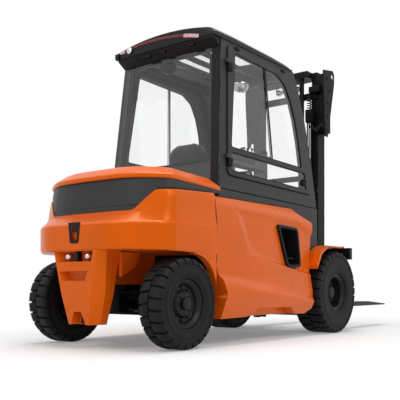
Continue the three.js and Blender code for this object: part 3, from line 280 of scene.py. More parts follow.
def bright_steel():
    """Ground and plated rod, with faint turning marks."""
    steel = Surface("bright_steel", (0.60, 0.61, 0.62), 0.22, 1.0)
    steel.vary_roughness(steel.noise(80.0, 3.0), 0.16, 0.32)
    return steel.bump(steel.ribs(600.0, "X"), 0.04, 0.0002)


def moulded(name, colour, grain):
    """Moulded plastic with a leather-like grain."""
    plastic = Surface(name, colour, 0.55)
    plastic.vary_colour(plastic.noise(8.0), 0.08)
    plastic.vary_roughness(plastic.noise(40.0), 0.48, 0.64)
    return plastic.bump(plastic.cells(grain), 0.16, 0.0005)


def gasket_rubber():
    """Extruded black rubber."""
    rubber = Surface("gasket_rubber", (0.008, 0.008, 0.008), 0.62)
    rubber.vary_colour(rubber.noise(30.0), 0.15)
    return rubber.bump(rubber.noise(500.0, 1.0), 0.08, 0.0003)


def tyre_rubber():
    """Solid tyre compound, dulled by dust in its hollows."""
    rubber = Surface("tyre_rubber", colours().rubber, 0.62)
    rubber.vary_colour(rubber.noise(16.0, 8.0, 0.7), 0.28, 0.38, 0.72)
    rubber.vary_roughness(rubber.noise(24.0, 4.0), 0.52, 0.74)
    rubber.bump(rubber.noise(45.0, 3.0), 0.10, 0.002)
    return rubber.bump(rubber.noise(850.0, 2.0), 0.18, 0.0005)


def rim_black():
    """Painted pressed steel."""
    steel = Surface("rim_black", (0.008, 0.008, 0.0085), 0.40, 0.0)
    steel.vary_colour(steel.noise(20.0, 5.0), 0.20)
    return steel.bump(steel.noise(380.0, 2.0), 0.08, 0.0005)


def seat_fabric():
    """Woven cover: two crossed thread directions with a soft sheen."""
    cloth = Surface("seat_fabric", colours().fabric, 0.85)
    cloth.set("Sheen Weight", 0.35).set("Sheen Roughness", 0.5)
    cloth.vary_colour(cloth.noise(260.0, 2.0), 0.20)
    cloth.bump(cloth.ribs(420.0, "X"), 0.22, 0.0006)
    return cloth.bump(cloth.ribs(420.0, "Z"), 0.22, 0.0006)


def tail_light():
    """Dark red lens over a moulded reflector."""
    lens = Surface("tail_light", (0.16, 0.006, 0.006), 0.12)
    lens.set("Coat Weight", 0.6).set("Coat Roughness", 0.05)
    lens.vary_colour(lens.cells(240.0), 0.35)
    return lens.bump(lens.cells(240.0), 0.20, 0.0008)


def tail_light_bright():
    """Clear part of the tail light, pink from the red behind it."""
    lens = Surface("tail_light_bright", (0.72, 0.42, 0.42), 0.15)
    lens.vary_colour(lens.cells(160.0), 0.45)
    return lens.bump(lens.cells(160.0), 0.25, 0.0008)


def lamp_lens():
    """Fluted clear lens over a bright reflector."""
    lens = Surface("lamp_lens", (0.62, 0.64, 0.64), 0.14, 0.55)
    lens.set("Coat Weight", 0.7).set("Coat Roughness", 0.04)
    lens.vary_colour(lens.cells(90.0), 0.18)
    return lens.bump(lens.ribs(55.0, "Y"), 0.25, 0.0012)


def tinted_glass():
    """Lightly tinted pane: clear ahead of you, bright at a glance, and open to lamplight."""
    pane = bpy.data.materials.new("tinted_glass")
    pane.use_nodes = True
    tree = pane.node_tree
    tree.nodes.remove(tree.nodes["Principled BSDF"])
    clear = tree.nodes.new("ShaderNodeBsdfTransparent")
    clear.inputs["Color"].default_value = (*colours().glass, 1.0)
    mirror = tree.nodes.new("ShaderNodeBsdfGlossy")
    mirror.inputs["Color"].default_value = (1.0, 1.0, 1.0, 1.0)
    mirror.inputs["Roughness"].default_value = 0.03
    glance = tree.nodes.new("ShaderNodeFresnel")
    glance.inputs["IOR"].default_value = 1.55
    place = tree.nodes.new("ShaderNodeTexCoord").outputs["Object"]
    ripple = tree.nodes.new("ShaderNodeTexNoise")
    ripple.inputs["Scale"].default_value = 1.6
    relief = tree.nodes.new("ShaderNodeBump")
    relief.inputs["Strength"].default_value = 0.05
    relief.inputs["Distance"].default_value = 0.002
    mix = tree.nodes.new("ShaderNodeMixShader")
    link = tree.links.new
    link(place, ripple.inputs["Vector"])
    link(ripple.outputs["Fac"], relief.inputs["Height"])
    link(relief.outputs["Normal"], mirror.inputs["Normal"])
    outer = tree.nodes.new("ShaderNodeMath")
    outer.operation = "SUBTRACT"
    outer.inputs[0].default_value = 1.0
    share = tree.nodes.new("ShaderNodeMath")
    share.operation = "MULTIPLY"
    link(tree.nodes.new("ShaderNodeNewGeometry").outputs["Backfacing"], outer.inputs[1])
    link(outer.outputs[0], share.inputs[0])
    link(glance.outputs["Fac"], share.inputs[1])
    link(share.outputs[0], mix.inputs["Fac"])
    link(clear.outputs["BSDF"], mix.inputs[1])
    link(mirror.outputs["BSDF"], mix.inputs[2])
    link(mix.outputs["Shader"], tree.nodes["Material Output"].inputs["Surface"])
    return pane


FINISHES = {}


def make_finishes():
    made = (orange_paint(), cast_orange(), cab_grey(), roof_black(), black_steel(), fork_steel(),
            bright_steel(), moulded("black_plastic", (0.006, 0.006, 0.006), 700.0),
            moulded("interior_plastic", (0.035, 0.036, 0.038), 520.0),
            moulded("console_grey", (0.105, 0.112, 0.106), 620.0), gasket_rubber(), tyre_rubber(),
            rim_black(), seat_fabric(), tail_light(), tail_light_bright(), lamp_lens())
    FINISHES.update({surface.name: surface.material for surface in made})
    FINISHES["tinted_glass"] = tinted_glass()
    for node, piece in frame["nodes"].items():
        piece.data.materials.clear()
        piece.data.materials.append(FINISHES[SLOT_OF[node]])


# ---------------------------------------------------------------------------------------------
# Mesh tools
# ---------------------------------------------------------------------------------------------


def body_of(node):
    return frame["nodes"][node]["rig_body"]


def piece_from(mesh, name, finish, body, replaced=()):
    """Puts a mesh in the scene as a piece that rides on a body."""
    piece = bpy.data.objects.new(name, mesh)
    bpy.context.scene.collection.objects.link(piece)
    mesh.materials.clear()
    mesh.materials.append(FINISHES[finish])
    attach(piece, body)
    if replaced:
        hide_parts(*replaced)
    return piece


def as_mesh(form, name):
    mesh = bpy.data.meshes.new(name)
    bmesh.ops.recalc_face_normals(form, faces=form.faces)
    form.to_mesh(mesh)
    form.free()
    return mesh


def applied(piece):
    """Applies every modifier of a piece."""
    bpy.context.view_layer.update()
    graph = bpy.context.evaluated_depsgraph_get()
    mesh = bpy.data.meshes.new_from_object(piece.evaluated_get(graph))
    piece.modifiers.clear()
    before = piece.data
    piece.data = mesh
    bpy.data.meshes.remove(before)
    return piece


def soften(piece, width, segments=2, angle=30.0):
    """Rounds the edges that turn by more than the angle, and shades the faces evenly."""
    if width > 0:
        edges = piece.modifiers.new("rounded_edges", "BEVEL")
        edges.width = width
        edges.segments = segments
        edges.limit_method = "ANGLE"
        edges.angle_limit = math.radians(angle)
        edges.use_clamp_overlap = True
        edges.miter_outer = "MITER_ARC"
    piece.data.polygons.foreach_set("use_smooth", [True] * len(piece.data.polygons))
    shade = piece.modifiers.new("even_shading", "WEIGHTED_NORMAL")
    shade.keep_sharp = True
    return applied(piece)


def node_mesh(node):
    """A clean copy of a frame node's mesh, with its flat faces whole."""
    form = bmesh.new()
    form.from_mesh(frame["nodes"][node].data)
    bmesh.ops.remove_doubles(form, verts=form.verts, dist=0.00002)
    bmesh.ops.dissolve_limit(form, angle_limit=math.radians(0.6), verts=form.verts, edges=form.edges)
    mesh = bpy.data.meshes.new(f"{node}_finished")
    form.to_mesh(mesh)
    form.free()
    return mesh


def finish_node(node, width=None, segments=2, angle=30.0, finish=None):
    """Replaces a frame node by a copy with rounded edges."""
    slot = SLOT_OF[node]
    piece = piece_from(node_mesh(node), f"{node}_finished", finish or slot, body_of(node), (node,))
    return soften(piece, sizes().edge if width is None else width, segments, angle)


def cut_away(piece, *cutters):
    """Cuts closed meshes out of a piece."""
    for mesh in cutters:
        tool = bpy.data.objects.new("cutter", mesh)
        bpy.context.scene.collection.objects.link(tool)
        hollow = piece.modifiers.new("hollow", "BOOLEAN")
        hollow.operation = "DIFFERENCE"
        hollow.solver = "EXACT"
        hollow.use_self = True
        hollow.object = tool
        applied(piece)
        bpy.data.objects.remove(tool)
        bpy.data.meshes.remove(mesh)
    return piece


def smooth_line(points, steps):
    """Points along a Catmull-Rom curve through the given ones."""
    ends = [points[0] * 2 - points[1], *points, points[-1] * 2 - points[-2]]
    line = []
    for a, b, c, d in zip(ends, ends[1:], ends[2:], ends[3:]):
        for step in range(steps):
            t = step / steps
            line.append(0.5 * (2 * b + (c - a) * t + (2 * a - 5 * b + 4 * c - d) * t ** 2
                               + (3 * b - a - 3 * c + d) * t ** 3))
    return [*line, points[-1].copy()]


def circle(centre, radius, side, other, steps):
    """Points round a circle that lies along two directions."""
    turns = [2 * math.pi * k / steps for k in range(steps)]
    return [centre + radius * (math.cos(turn) * side + math.sin(turn) * other) for turn in turns]


def add_loft(form, rings, loop=False):
    """A body through rings of equal count, closed by its end rings or joined into a loop."""
    made = [[form.verts.new(point) for point in ring] for ring in rings]
    count = len(made[0])
    for low, high in zip(made, made[1:] + (made[:1] if loop else [])):
        for k in range(count):
            form.faces.new((low[k], low[(k + 1) % count], high[(k + 1) % count], high[k]))
    if not loop:
        form.faces.new(list(reversed(made[0])))
        form.faces.new(made[-1])


def add_tube(form, line, radius, sides=10, closed=False):
    """A round tube along a line, with closed ends or joined into a loop."""
    count = len(line)
    rings = []
    side = None
    for i, point in enumerate(line):
        before = line[i - 1] if i or closed else point
        after = line[(i + 1) % count] if i + 1 < count or closed else point
        along = (after - before).normalized()
        guess = side if side is not None else along.orthogonal()
        side = (guess - along * guess.dot(along)).normalized()
        rings.append(circle(point, radius, side, along.cross(side), sides))
    add_loft(form, rings, closed)


def add_rod(form, start, end, radius, sides=16):
    """A round bar between two points."""
    along = (end - start).normalized()
    side = along.orthogonal().normalized()
    add_loft(form, [circle(point, radius, side, along.cross(side), sides) for point in (start, end)])


def add_box(form, low, high):
    """A box between two corners."""
    middle = (low + high) / 2
    half = (high - low) / 2
    corners = []
    for x in (-1, 1):
        for y in (-1, 1):
            for z in (-1, 1):
                corners.append(form.verts.new(middle + Vector((x * half.x, y * half.y, z * half.z))))
    for ring in ((0, 1, 3, 2), (4, 6, 7, 5), (0, 4, 5, 1), (2, 3, 7, 6), (0, 2, 6, 4), (1, 5, 7, 3)):
        form.faces.new([corners[k] for k in ring])


def add_side_box(form, sign, low, high):
    """A box on one side of the machine; corners are (x, distance from the middle, z)."""
    near, far = sorted((sign * low[1], sign * high[1]))
    add_box(form, spot(low[0], near, low[2]), spot(high[0], far, high[2]))


def add_prism(form, outline, along):
    """An outline of points, pushed along a vector."""
    add_loft(form, [outline, [point + along for point in outline]])


def add_ring(form, outer, inner, along):
    """A flat ring between two loops of equal count, pushed along a vector."""
    far_outer, far_inner = ([point + along for point in loop] for loop in (outer, inner))
    add_loft(form, [outer, inner, far_inner, far_outer], True)


def add_turned(form, profile, centre, axis, steps=64, closed=True):
    """A body of revolution from (radius, offset along the axis) pairs: a closed loop, or a line that
    starts and ends on the axis."""
    axis = axis.normalized()
    side = axis.orthogonal().normalized()
    other = axis.cross(side)
    rings = []
    for radius, offset in profile:
        point = centre + axis * offset
        if radius < 1e-6:
            rings.append([form.verts.new(point)] * steps)
        else:
            rings.append([form.verts.new(corner) for corner in circle(point, radius, side, other, steps)])
    pairs = list(zip(rings, rings[1:])) + ([(rings[-1], rings[0])] if closed else [])
    for low, high in pairs:
        for k in range(steps):
            after = (k + 1) % steps
            corners = [low[k], low[after], high[after], high[k]]
            faces = [v for i, v in enumerate(corners) if v not in corners[:i]]
            if len(faces) > 2:
                form.faces.new(faces)


def arc_rounded(outline, radius, steps=5):
    """An outline with its corners rounded by arcs."""
    count = len(outline)
    line = []
    for k, here in enumerate(outline):
        before = outline[k - 1]
        after = outline[(k + 1) % count]
        reach = min(radius, (before - here).length * 0.45, (after - here).length * 0.45)
        start = here + (before - here).normalized() * reach
        end = here + (after - here).normalized() * reach
        for step in range(steps + 1):
            t = step / steps
            line.append(start * (1 - t) ** 2 + here * 2 * t * (1 - t) + end * t ** 2)
    return line


def shaded_piece(form, name, finish, body, width=0.0, replaced=(), angle=30.0, segments=2):
    """Makes a bmesh into a finished piece."""
    piece = piece_from(as_mesh(form, name), name, finish, body, replaced)
    return soften(piece, width, segments, angle)


# ---------------------------------------------------------------------------------------------
# Counterweight, band and hood
# ---------------------------------------------------------------------------------------------

TAIL_X = -0.490
BAND_FACE_X = TAIL_X + 0.150
WEIGHT_FRONT_X = 0.385
HALF_WIDTH = 0.722
FLANK_TOP_HALF = HALF_WIDTH - 0.032
ARCH_Z = 0.742
RIDGE_Z = 0.950
SHOULDER_Z = 1.052
SHOULDER_TOP_Z = 1.222
HOOD_Z = 1.288
HOOD_FRONT_X = 0.500
BAND_CORNER = 0.66
FLANK_FALL = -0.040
HOOD_FALL = 0.052
TAIL_RISE = 0.020
SEAT_GAP = 0.0003


def tail_ring(z, rear_x, half, front_x=WEIGHT_FRONT_X, corner=1.0, fall=0.0, steps=6):
    """Plan outline of the tail at one height, as a smooth curve round both rear corners.

    A fall lowers it forwards, by that share of the distance from its rear."""
    plan = [(0.003, 0.34), (0.015, 0.5), (0.070 * corner, 0.665), (0.160 * corner, 0.82),
            (0.255 * corner, 0.95), (0.360 * corner, 1.0)]
    left = [spot(rear_x + x, half * share, z) for x, share in plan]
    right = [mirrored(point) for point in left]
    middle = [spot(rear_x, 0, z)]
    curve = smooth_line([*reversed(left), *middle, *right], steps)
    ring = [spot(front_x, half, z), *curve, spot(front_x, -half, z)]
    foot = spot(rear_x, 0, z).x
    for point in ring:
        point.z -= fall * (point.x - foot)
    return ring


def add_tail(form, levels):
    add_loft(form, [tail_ring(*level) for level in levels])


def eased(levels, steps):
    """More levels between the given ones, along smooth curves."""
    lines = [Vector(level[:3]) for level in levels]
    rest = levels[0][3:]
    return [(*point, *rest) for point in smooth_line(lines, steps)]


def band_outline(trim, x):
    """The band seen from behind; a positive trim makes it smaller."""
    wide, low, high = 0.46 - trim, SHOULDER_Z + trim, SHOULDER_TOP_Z - 0.006 + trim
    top = HOOD_Z + 0.06
    corner = 0.585 - trim
    right = [spot(x, wide - 0.03, low), spot(x, wide, low + 0.012),
             spot(x, (wide + corner) / 2, (low + high) / 2), spot(x, corner - 0.006, high - 0.020),
             spot(x, corner + 0.012, high - 0.004), spot(x, corner + 0.04, high)]
    left = [mirrored(point) for point in reversed(right)]
    return [*right, spot(x, 0.76, high), spot(x, 0.76, top), spot(x, -0.76, top), spot(x, -0.76, high), *left]


def rising(length):
    """Forwards along the line of the flank's top edge."""
    return Vector((length, 0, -FLANK_FALL * length))


def prism_mesh(outline, along):
    form = bmesh.new()
    add_prism(form, outline, along)
    return as_mesh(form, "cutter")


def latch_outline(x, grow):
    low, high, foot, head = 0.822, 0.974, 0.034, 0.046
    return [spot(x, -foot - grow, low - grow), spot(x, foot + grow, low - grow),
            spot(x, head + grow, high + grow), spot(x, -head - grow, high + grow)]


def recess_mesh(low_ring, high_ring):
    """A tapering pocket in the tail; rings give (x, y) corners and a height."""
    form = bmesh.new()
    add_loft(form, [[spot(x, y, z) for x, y in corners] for corners, z in (low_ring, high_ring)])
    return as_mesh(form, "cutter")


def counterweight():
    front = WEIGHT_FRONT_X
    low = ARCH_Z + TAIL_RISE
    bulge = bmesh.new()
    lower = [(low, TAIL_X + 0.012, HALF_WIDTH - 0.008), (low + 0.006, TAIL_X + 0.004, HALF_WIDTH - 0.003),
             (low + 0.020, TAIL_X, HALF_WIDTH)]
    upper = eased([(RIDGE_Z, TAIL_X, HALF_WIDTH), (RIDGE_Z + 0.012, TAIL_X + 0.006, HALF_WIDTH - 0.001),
                   (RIDGE_Z + 0.028, TAIL_X + 0.024, HALF_WIDTH - 0.005)], 3)
    add_tail(bulge, [*[(*level, front, 1.0, 0.022) for level in lower],
                     *[(*level, front, 1.0) for level in upper],
                     (SHOULDER_Z - 0.004, BAND_FACE_X - 0.012, HALF_WIDTH - 0.016, front, BAND_CORNER),
                     (SHOULDER_TOP_Z - 0.060, BAND_FACE_X + 0.003, FLANK_TOP_HALF + 0.008, front,
                      BAND_CORNER),
                     (SHOULDER_TOP_Z - 0.024, BAND_FACE_X + 0.010, FLANK_TOP_HALF + 0.002, front, BAND_CORNER,
                      FLANK_FALL),
                     (SHOULDER_TOP_Z - 0.010, BAND_FACE_X + 0.020, FLANK_TOP_HALF - 0.010, front, BAND_CORNER,
                      FLANK_FALL)])
    piece = piece_from(as_mesh(bulge, "counterweight_casting"), "counterweight_casting", "cast_orange",
                       "truck", ("counterweight",))
    back = TAIL_X - 0.005
    cut_away(
        piece,
        prism_mesh(band_outline(-SEAT_GAP, back), rising(front - back + 0.01)),
        prism_mesh(arc_rounded(latch_outline(back, 0.006), 0.012), Vector((0.027, 0, 0))),
    )
    soften(piece, 0.006, 3, 38.0)
    tail_column()
    for side, sign in SIDES:
        arch = bmesh.new()
        corner = [(WEIGHT_FRONT_X - 0.002, ARCH_Z + 0.004), (0.10, ARCH_Z + 0.006)]
        arc = [(0.10 + 0.283 * math.sin(t), 0.455 + 0.283 * math.cos(t)) for t in
               (math.radians(6 * k) for k in range(16))]
        line = [spot(x, sign * 0.655, z) for x, z in [*corner, *arc]]
        add_prism(arch, line, Vector((0, sign * 0.058, 0)))
        shaded_piece(arch, f"arch_corner_{side}", "cast_orange", "truck", 0.008, angle=40.0)


def column_ring(z, rear_x, flat, side_x, half, front_x):
    """Plan outline of the column that carries the tow pocket."""
    left = [spot(front_x, half, z), spot(side_x, half, z), spot(rear_x, flat, z)]
    return [*left, *(mirrored(point) for point in reversed(left))]


def tail_column():
    """Column of the casting between the rear wheels, with its pockets and the tow notch."""
    form = bmesh.new()
    add_loft(form, [column_ring(0.190, TAIL_X + 0.040, 0.108, TAIL_X + 0.108, 0.170, -0.310),
                    column_ring(0.425, TAIL_X + 0.014, 0.165, TAIL_X + 0.090, 0.244, -0.310),
                    column_ring(ARCH_Z + TAIL_RISE + 0.003, TAIL_X + 0.002, 0.240, TAIL_X + 0.055, 0.296,
                                -0.290)])
    piece = piece_from(as_mesh(form, "tail_column"), "tail_column", "cast_orange", "truck")
    lamp = recess_mesh((((TAIL_X - 0.005, 0.215), (TAIL_X + 0.070, 0.165), (TAIL_X + 0.070, -0.150),
                         (TAIL_X - 0.005, -0.180)), 0.676),
                       (((TAIL_X - 0.005, 0.240), (TAIL_X + 0.070, 0.180), (TAIL_X + 0.070, -0.165),
                         (TAIL_X - 0.005, -0.205)), 0.757))
    step = recess_mesh((((TAIL_X - 0.005, 0.170), (TAIL_X + 0.075, 0.120), (TAIL_X + 0.075, -0.085),
                         (TAIL_X - 0.005, -0.115)), 0.530),
                       (((TAIL_X - 0.005, 0.195), (TAIL_X + 0.075, 0.135), (TAIL_X + 0.075, -0.100),
                         (TAIL_X - 0.005, -0.140)), 0.602))
    notch = prism_mesh([spot(TAIL_X - 0.005, y, z) for y, z in
                        ((-0.082, 0.185), (0.082, 0.185), (0.040, 0.290), (-0.040, 0.290))],
                       Vector((0.123, 0, 0)))
    cut_away(piece, lamp, step, notch)
    soften(piece, 0.009, 3, 20.0)
    web = bmesh.new()
    add_box(web, spot(-0.320, -0.128, 0.5003), spot(0.300, 0.128, ARCH_Z + 0.02))
    for y in (-0.30, 0.30):
        add_prism(web, [spot(x, y - 0.014, z) for x, z in
                        ((-0.300, ARCH_Z + 0.01), (-0.080, ARCH_Z + 0.01), (-0.120, 0.640), (-0.300, 0.560))],
                  Vector((0, 0.028, 0)))
    shaded_piece(web, "casting_ribs", "cast_orange", "truck", 0.006)


def tail_fittings():
    """What sits in the tail's pockets: two bolt heads, the tow pin's latch bar and the black frame."""
    heads = bmesh.new()
    depth = TAIL_X + 0.066
    for y in (0.115, -0.105):
        add_turned(heads, [(0.0, -0.044), (0.018, -0.042), (0.030, -0.030), (0.034, -0.012), (0.034, 0.0),
                           (0.0, 0.0)], spot(depth, y, 0.716), FORWARDS, 28, False)
    shaded_piece(heads, "tail_bolt_heads", "bright_steel", "truck")
    bar = bmesh.new()
    add_box(bar, spot(depth - 0.045, -0.012, 0.678), spot(depth + 0.003, 0.026, 0.755))
    shaded_piece(bar, "tow_pin_latch", "black_plastic", "truck", 0.003)
    ring = bmesh.new()
    outer, inner = (arc_rounded([spot(TAIL_X + 0.004, y, z) for y, z in
                                 ((-foot, low), (foot, low), (head, high), (-head, high))], 0.012)
                    for foot, head, low, high in ((0.046, 0.066, 0.818, 0.978), (0.026, 0.042, 0.842, 0.952)))
    add_ring(ring, outer, inner, Vector((-0.010, 0, 0)))
    add_box(ring, spot(TAIL_X + 0.002, -0.030, 0.905), spot(TAIL_X + 0.012, 0.030, 0.950))
    shaded_piece(ring, "tow_frame_ring", "black_plastic", "truck", 0.003, ("tow_frame",))
    pin = bmesh.new()
    add_rod(pin, spot(TAIL_X + 0.095, 0, 0.196), spot(TAIL_X + 0.095, 0, 0.262), 0.016, 20)
    shaded_piece(pin, "tow_pin", "black_steel", "truck", 0.003)


def band_and_hood():
    """The dark band round the rear, the hood over it, and the rubber of the shut line between them."""
    band = bmesh.new()
    front = WEIGHT_FRONT_X
    add_tail(band, [(SHOULDER_Z, BAND_FACE_X, HALF_WIDTH - 0.020, front, BAND_CORNER),
                    (SHOULDER_Z + 0.034, BAND_FACE_X + 0.001, HALF_WIDTH - 0.022, front, BAND_CORNER),
                    (SHOULDER_Z + 0.040, BAND_FACE_X + 0.006, HALF_WIDTH - 0.028, front, BAND_CORNER),
                    (SHOULDER_Z + 0.046, BAND_FACE_X + 0.005, HALF_WIDTH - 0.028, front, BAND_CORNER),
                    (SHOULDER_Z + 0.052, BAND_FACE_X + 0.002, HALF_WIDTH - 0.024, front, BAND_CORNER),
                    (SHOULDER_TOP_Z - 0.010, BAND_FACE_X + 0.016, FLANK_TOP_HALF - 0.004, front, BAND_CORNER),
                    (HOOD_Z + 0.020, BAND_FACE_X + 0.024, FLANK_TOP_HALF - 0.016, front, BAND_CORNER,
                     HOOD_FALL)])
    piece = piece_from(as_mesh(band, "rear_band_face"), "rear_band_face", "cab_grey", "truck",
                       ("rear_band",))
    back = TAIL_X - 0.005
    keep = bpy.data.objects.new("keep", prism_mesh(band_outline(0.0, back), rising(front - back + 0.01)))
    bpy.context.scene.collection.objects.link(keep)
    share = piece.modifiers.new("share", "BOOLEAN")
    share.operation = "INTERSECT"
    share.solver = "EXACT"
    share.object = keep
    applied(piece)
    bpy.data.objects.remove(keep)
    soften(piece, 0.003, 2, 38.0)
    front = HOOD_FRONT_X
    strip = bmesh.new()
    add_tail(strip, [(SHOULDER_TOP_Z - 0.008, BAND_FACE_X + 0.026, FLANK_TOP_HALF - 0.012, front, BAND_CORNER,
                      FLANK_FALL),
                     (HOOD_Z + 0.020, BAND_FACE_X + 0.034, FLANK_TOP_HALF - 0.022, front, BAND_CORNER,
                      HOOD_FALL)])
    shaded_piece(strip, "rear_band_strip", "cab_grey", "truck", 0.003, angle=38.0)
    hood = bmesh.new()
    low = HOOD_Z + 0.022
    levels = ((0.0, 0.012, 0.026, 0.0), (0.006, 0.004, 0.018, 0.0), (0.030, 0.004, 0.020, 0.004),
              (0.040, 0.012, 0.028, 0.010), (0.088, 0.075, 0.090, 0.050), (0.100, 0.098, 0.112, 0.052),
              (0.122, 0.200, 0.210, 0.056))
    add_tail(hood, [(low + rise, BAND_FACE_X + back, FLANK_TOP_HALF - trim, front - short, BAND_CORNER,
                     HOOD_FALL) for rise, back, trim, short in levels])
    shaded_piece(hood, "rear_hood_cover", "orange_paint", "truck", 0.004, ("rear_hood",),
                 38.0)
    seal = bmesh.new()
    add_tube(seal, tail_ring(HOOD_Z + 0.020, BAND_FACE_X + 0.022, FLANK_TOP_HALF - 0.034, front - 0.01,
                             BAND_CORNER, HOOD_FALL), 0.005, 8)
    shaded_piece(seal, "hood_seal", "gasket_rubber", "truck")


# ---------------------------------------------------------------------------------------------
# Side panels, steps, fenders and chassis
# ---------------------------------------------------------------------------------------------

HATCH = ((0.650, 1.123), (0.746, 1.067), (0.784, 0.964), (0.861, 0.818), (1.003, 0.737), (1.446, 0.671),
         (2.060, 0.575), (2.060, 0.985), (1.989, 1.000), (1.655, 1.105))
HATCH_DEPTH = 0.017
HATCH_RAMP = (-0.006, 0.026)
FLARE = ((0.385, 0.590), (2.000, 0.378))
FLARE_OUT = 0.040
FLARE_RAMP = 0.052
SHOULDER = ((0.385, 1.160), (1.655, 1.105))
SHOULDER_LEAN = 0.40
SHOULDER_MAX = 0.075
SKIN_Y = 0.672
SKIN_GRID = ((0, 0.020), (2, 0.014))
COPLANAR = 0.02


def inside_by(outline, x, z):
    """How far a point lies inside an outline; negative outside it."""
    inside = False
    nearest = 1.0
    for (ax, az), (bx, bz) in zip(outline, (*outline[1:], outline[0])):
        if (az > z) != (bz > z) and x < ax + (z - az) * (bx - ax) / (bz - az):
            inside = not inside
        wide, tall = bx - ax, bz - az
        along = max(0.0, min(1.0, ((x - ax) * wide + (z - az) * tall) / (wide ** 2 + tall ** 2)))
        nearest = min(nearest, math.hypot(x - ax - along * wide, z - az - along * tall))
    return nearest if inside else -nearest


def line_height(line, x):
    """Height of a line of the skin at one x."""
    (ax, az), (bx, bz) = line
    return az + (x - ax) * (bz - az) / (bx - ax)


def eased_step(value, low, high):
    """Rises smoothly from 0 at low to 1 at high."""
    share = max(0.0, min(1.0, (value - low) / (high - low)))
    return share * share * (3 - 2 * share)


def panel_relief(x, z):
    """How far the side panel's skin stands out of its plain surface."""
    flare = FLARE_OUT * max(0.0, min(1.0, (line_height(FLARE, x) - z) / FLARE_RAMP))
    hatch = -HATCH_DEPTH * eased_step(inside_by(HATCH, x, z), *HATCH_RAMP)
    return flare + hatch - SHOULDER_LEAN * max(0.0, min(SHOULDER_MAX, z - line_height(SHOULDER, x)))


def side_panel(side, sign):
    """Cuts the panel's faces into a grid and sculpts its outer skin."""
    node = f"side_panel_{side}"
    form = bmesh.new()
    form.from_mesh(node_mesh(node))
    low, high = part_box(node)
    for axis, step in SKIN_GRID:
        place = low[axis] + step
        normal = Vector((float(axis == 0), 0, float(axis == 2)))
        while place < high[axis] - 0.002:
            bmesh.ops.bisect_plane(form, geom=[*form.verts, *form.edges, *form.faces], dist=0.00005,
                                   plane_co=normal * place, plane_no=normal)
            place += step
    bmesh.ops.triangulate(form, faces=form.faces)
    coplanar = [edge for edge in form.edges if edge.is_manifold and edge.calc_face_angle(0.0) < COPLANAR]
    bmesh.ops.beautify_fill(form, faces=form.faces, edges=coplanar)
    bmesh.ops.dissolve_degenerate(form, dist=0.0008, edges=form.edges)
    for point in form.verts:
        if abs(point.co.y) > SKIN_Y:
            point.co.y += sign * panel_relief(point.co.x - REAR_AXLE.x, point.co.z)
    form.normal_update()
    flat = [point for point in form.verts
            if abs(point.co.y) > SKIN_Y and all(abs(face.normal.y) > 0.6 for face in point.link_faces)]
    for _ in range(4):
        bmesh.ops.smooth_vert(form, verts=flat, factor=0.5, use_axis_y=True)
    mesh = bpy.data.meshes.new(f"{node}_sculpted")
    form.to_mesh(mesh)
    form.free()
    mesh.polygons.foreach_set("use_smooth", [True] * len(mesh.polygons))
    mesh.set_sharp_from_angle(angle=math.radians(34))
    piece_from(mesh, f"{node}_sculpted", "orange_paint", "truck", (node,))


def skin_line(node, x, sign, low, high, count, out):
    """Points up the outer skin of a node, all at the same length."""
    form = bmesh.new()
    form.from_mesh(node_mesh(node))
    tree = BVHTree.FromBMesh(form)
    form.free()
    line = []
    for k in range(count + 1):
        start = spot(x, sign * 1.2, low + (high - low) * k / count)
        hit = tree.ray_cast(start, Vector((0, -sign, 0)))[0]
        if hit:
            line.append(hit + Vector((0, sign * out, 0)))
    return line


def side_panels():
    """Panels, fenders and steps, with the treads, joints and aprons that belong to them."""
    joint_x = WEIGHT_FRONT_X + 0.004
    for side, sign in SIDES:
        side_panel(side, sign)
        finish_node(f"cab_cladding_{side}", 0.005, 2, 12.0)
        finish_node(f"front_fender_{side}", 0.004, 2, 20.0)
        finish_node(f"step_box_{side}", 0.007, 3, 30.0)
        treads = bmesh.new()
        add_side_box(treads, sign, (1.545, 0.560, 0.742), (1.672, 0.690, 0.752))
        shaded_piece(treads, f"step_tread_{side}", "black_plastic", "truck", 0.003)
        lines = bmesh.new()
        add_tube(lines, skin_line(f"side_panel_{side}", joint_x, sign, 0.585, 1.190, 18, 0.0002), 0.0028, 6)
        shaded_piece(lines, f"panel_joint_{side}", "gasket_rubber", "truck")
        apron = bmesh.new()
        add_side_box(apron, sign, (0.930, 0.640, 0.226), (1.640, 0.655, 0.330))
        shaded_piece(apron, f"skirt_apron_{side}", "orange_paint", "truck", 0.003)


def chassis():
    finish_node("chassis_frame", 0.004, 2, 30.0)
    finish_node("seat_deck", 0.006, 2)
    finish_node("battery_block", 0.01, 2)
    finish_node("steer_axle", 0.003, 2, 40.0)
    finish_node("drive_axle", 0.003, 2, 40.0)
    finish_node("steer_rod", 0.001, 1, 50.0)
    for side, _ in SIDES:
        finish_node(f"knuckle_{side}", 0.002, 2, 40.0)
        finish_node(f"tilt_barrel_{side}", 0.002, 2, 40.0)
        finish_node(f"tilt_rod_{side}", 0.001, 1, 50.0)


# ---------------------------------------------------------------------------------------------
# Wheels
# ---------------------------------------------------------------------------------------------

REAR_TYRE = (0.353, 0.220)
FRONT_TYRE = (0.4185, 0.310)
BEAD = 0.190


